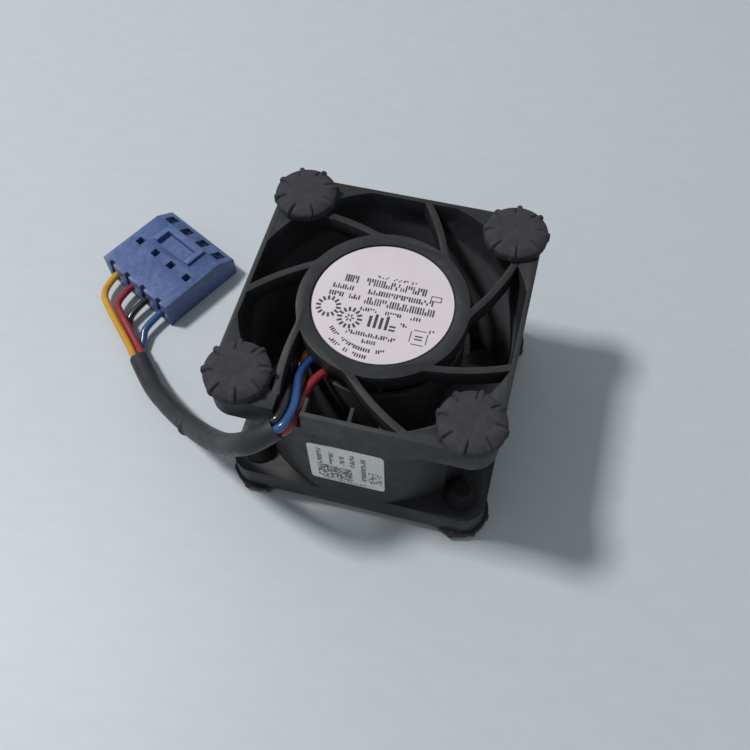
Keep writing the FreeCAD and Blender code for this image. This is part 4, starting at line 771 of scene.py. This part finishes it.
# The near-white edge tone of this label is a painted highlight along its edges.
side_label_film = moulded("side_label_film", colour(222, 223, 221), colour(212, 213, 212), (0.3, 0.4),
                          grain_mm=0.4, grain_depth=0.002, edge_wear_and_highlight=colour(250, 250, 248))
side_low, side_high = (np.array(corner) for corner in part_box("side_label"))
side_low[2] += STICKER_LIFT
side_film = plate_mesh("side_film", side_low, side_high, STICKER_CORNER)
add_piece("side_label_film", side_film, side_label_film, "stator", ["side_label"])

side_centre = np.array([(side_low + side_high)[0] / 2, side_low[1], (side_low + side_high)[2] / 2])
half_wide, _, half_high = (side_high - side_low) / 2 / MM
# Upright rows, in shares of the label's half size: how far across, where a row starts, where it ends.
side_rows = [(-0.70, -0.1, 0.83), (-0.38, 0.0, 0.76), (-0.10, 0.1, 0.62), (0.17, 0.1, 0.80),
             (0.46, -0.6, 0.72)]
side_marks = [strokes((x * half_wide, low * half_high), (x * half_wide, high * half_high), 0.7, seed=k)
              for k, (x, low, high) in enumerate(side_rows)]
low_x, low_y = -0.76 * half_wide, -0.80 * half_high
side_marks += [dots(low_x, low_y, columns=19, rows=16, pitch=0.27, share=0.62, seed=5)]
low_x, low_y = 0.60 * half_wide, -0.62 * half_high
side_marks += [dots(low_x, low_y, columns=8, rows=15, pitch=0.25, share=0.45, seed=6)]
foot = -0.9 * half_high
side_marks += [strokes((-0.7 * half_wide, foot), (0.5 * half_wide, foot), 0.4, seed=9)]
faint_ink = moulded("faint_ink", colour(86, 87, 90), colour(74, 76, 79), (0.4, 0.5), grain_mm=0.3,
                    grain_depth=0.002)
side_print = ink_mesh("side_print", np.concatenate(side_marks), side_centre, X_AXIS, Z_AXIS)
add_piece("side_label_print", side_print, faint_ink, "stator")
print("marks on the front label:", sum(map(len, side_marks)))

# %% [markdown]
# The fan stands on a pale, faintly streaked floor. One square lamp, high on the left, throws a clear shadow
# to the right, and a dim sky fills the shaded sides. The wider a lamp is for its distance, the softer its
# shadow.

# %% Floor and light
FLOOR_REACH = 1.5
LAMP_AIM = Vector((0, 0, 12 * MM))
floor_finish = Nodes("floor")
streaks = floor_finish.noise(6.0, 6.0, 0.6, (1.0, 2.5, 1.0))
floor_finish.link(floor_finish.mix(streaks, colour(186, 193, 198), colour(196, 203, 207)), "Base Color")
floor_finish.shader.inputs["Roughness"].default_value = 0.5
floor_mesh = bpy.data.meshes.new("floor")
corners = [(x * FLOOR_REACH, y * FLOOR_REACH, 0.0) for x, y in ((-1, -1), (1, -1), (1, 1), (-1, 1))]
floor_mesh.from_pydata(corners, [], [(0, 1, 2, 3)])
floor = bpy.data.objects.new("floor", floor_mesh)
bpy.context.scene.collection.objects.link(floor)
floor_mesh.materials.append(floor_finish.material)


def add_lamp(name, direction, distance, size, power):
    """A square lamp that shines at the fan's middle from that direction."""
    data = bpy.data.lights.new(name, "AREA")
    data.shape = "SQUARE"
    data.size = size
    data.energy = power
    lamp = bpy.data.objects.new(name, data)
    bpy.context.scene.collection.objects.link(lamp)
    away = Vector(direction).normalized()
    lamp.location = LAMP_AIM + away * distance
    lamp.rotation_euler = (-away).to_track_quat("-Z", "Y").to_euler()


add_lamp("key", direction=(-0.5, 0.0, 0.87), distance=0.7, size=0.10, power=3.55)
world = bpy.data.worlds.new("studio")
bpy.context.scene.world = world
world.use_nodes = True
sky = world.node_tree.nodes["Background"]
sky.inputs["Color"].default_value = (0.92, 0.96, 1.0, 1.0)
sky.inputs["Strength"].default_value = 0.33
bpy.context.scene.view_settings.view_transform = "Standard"
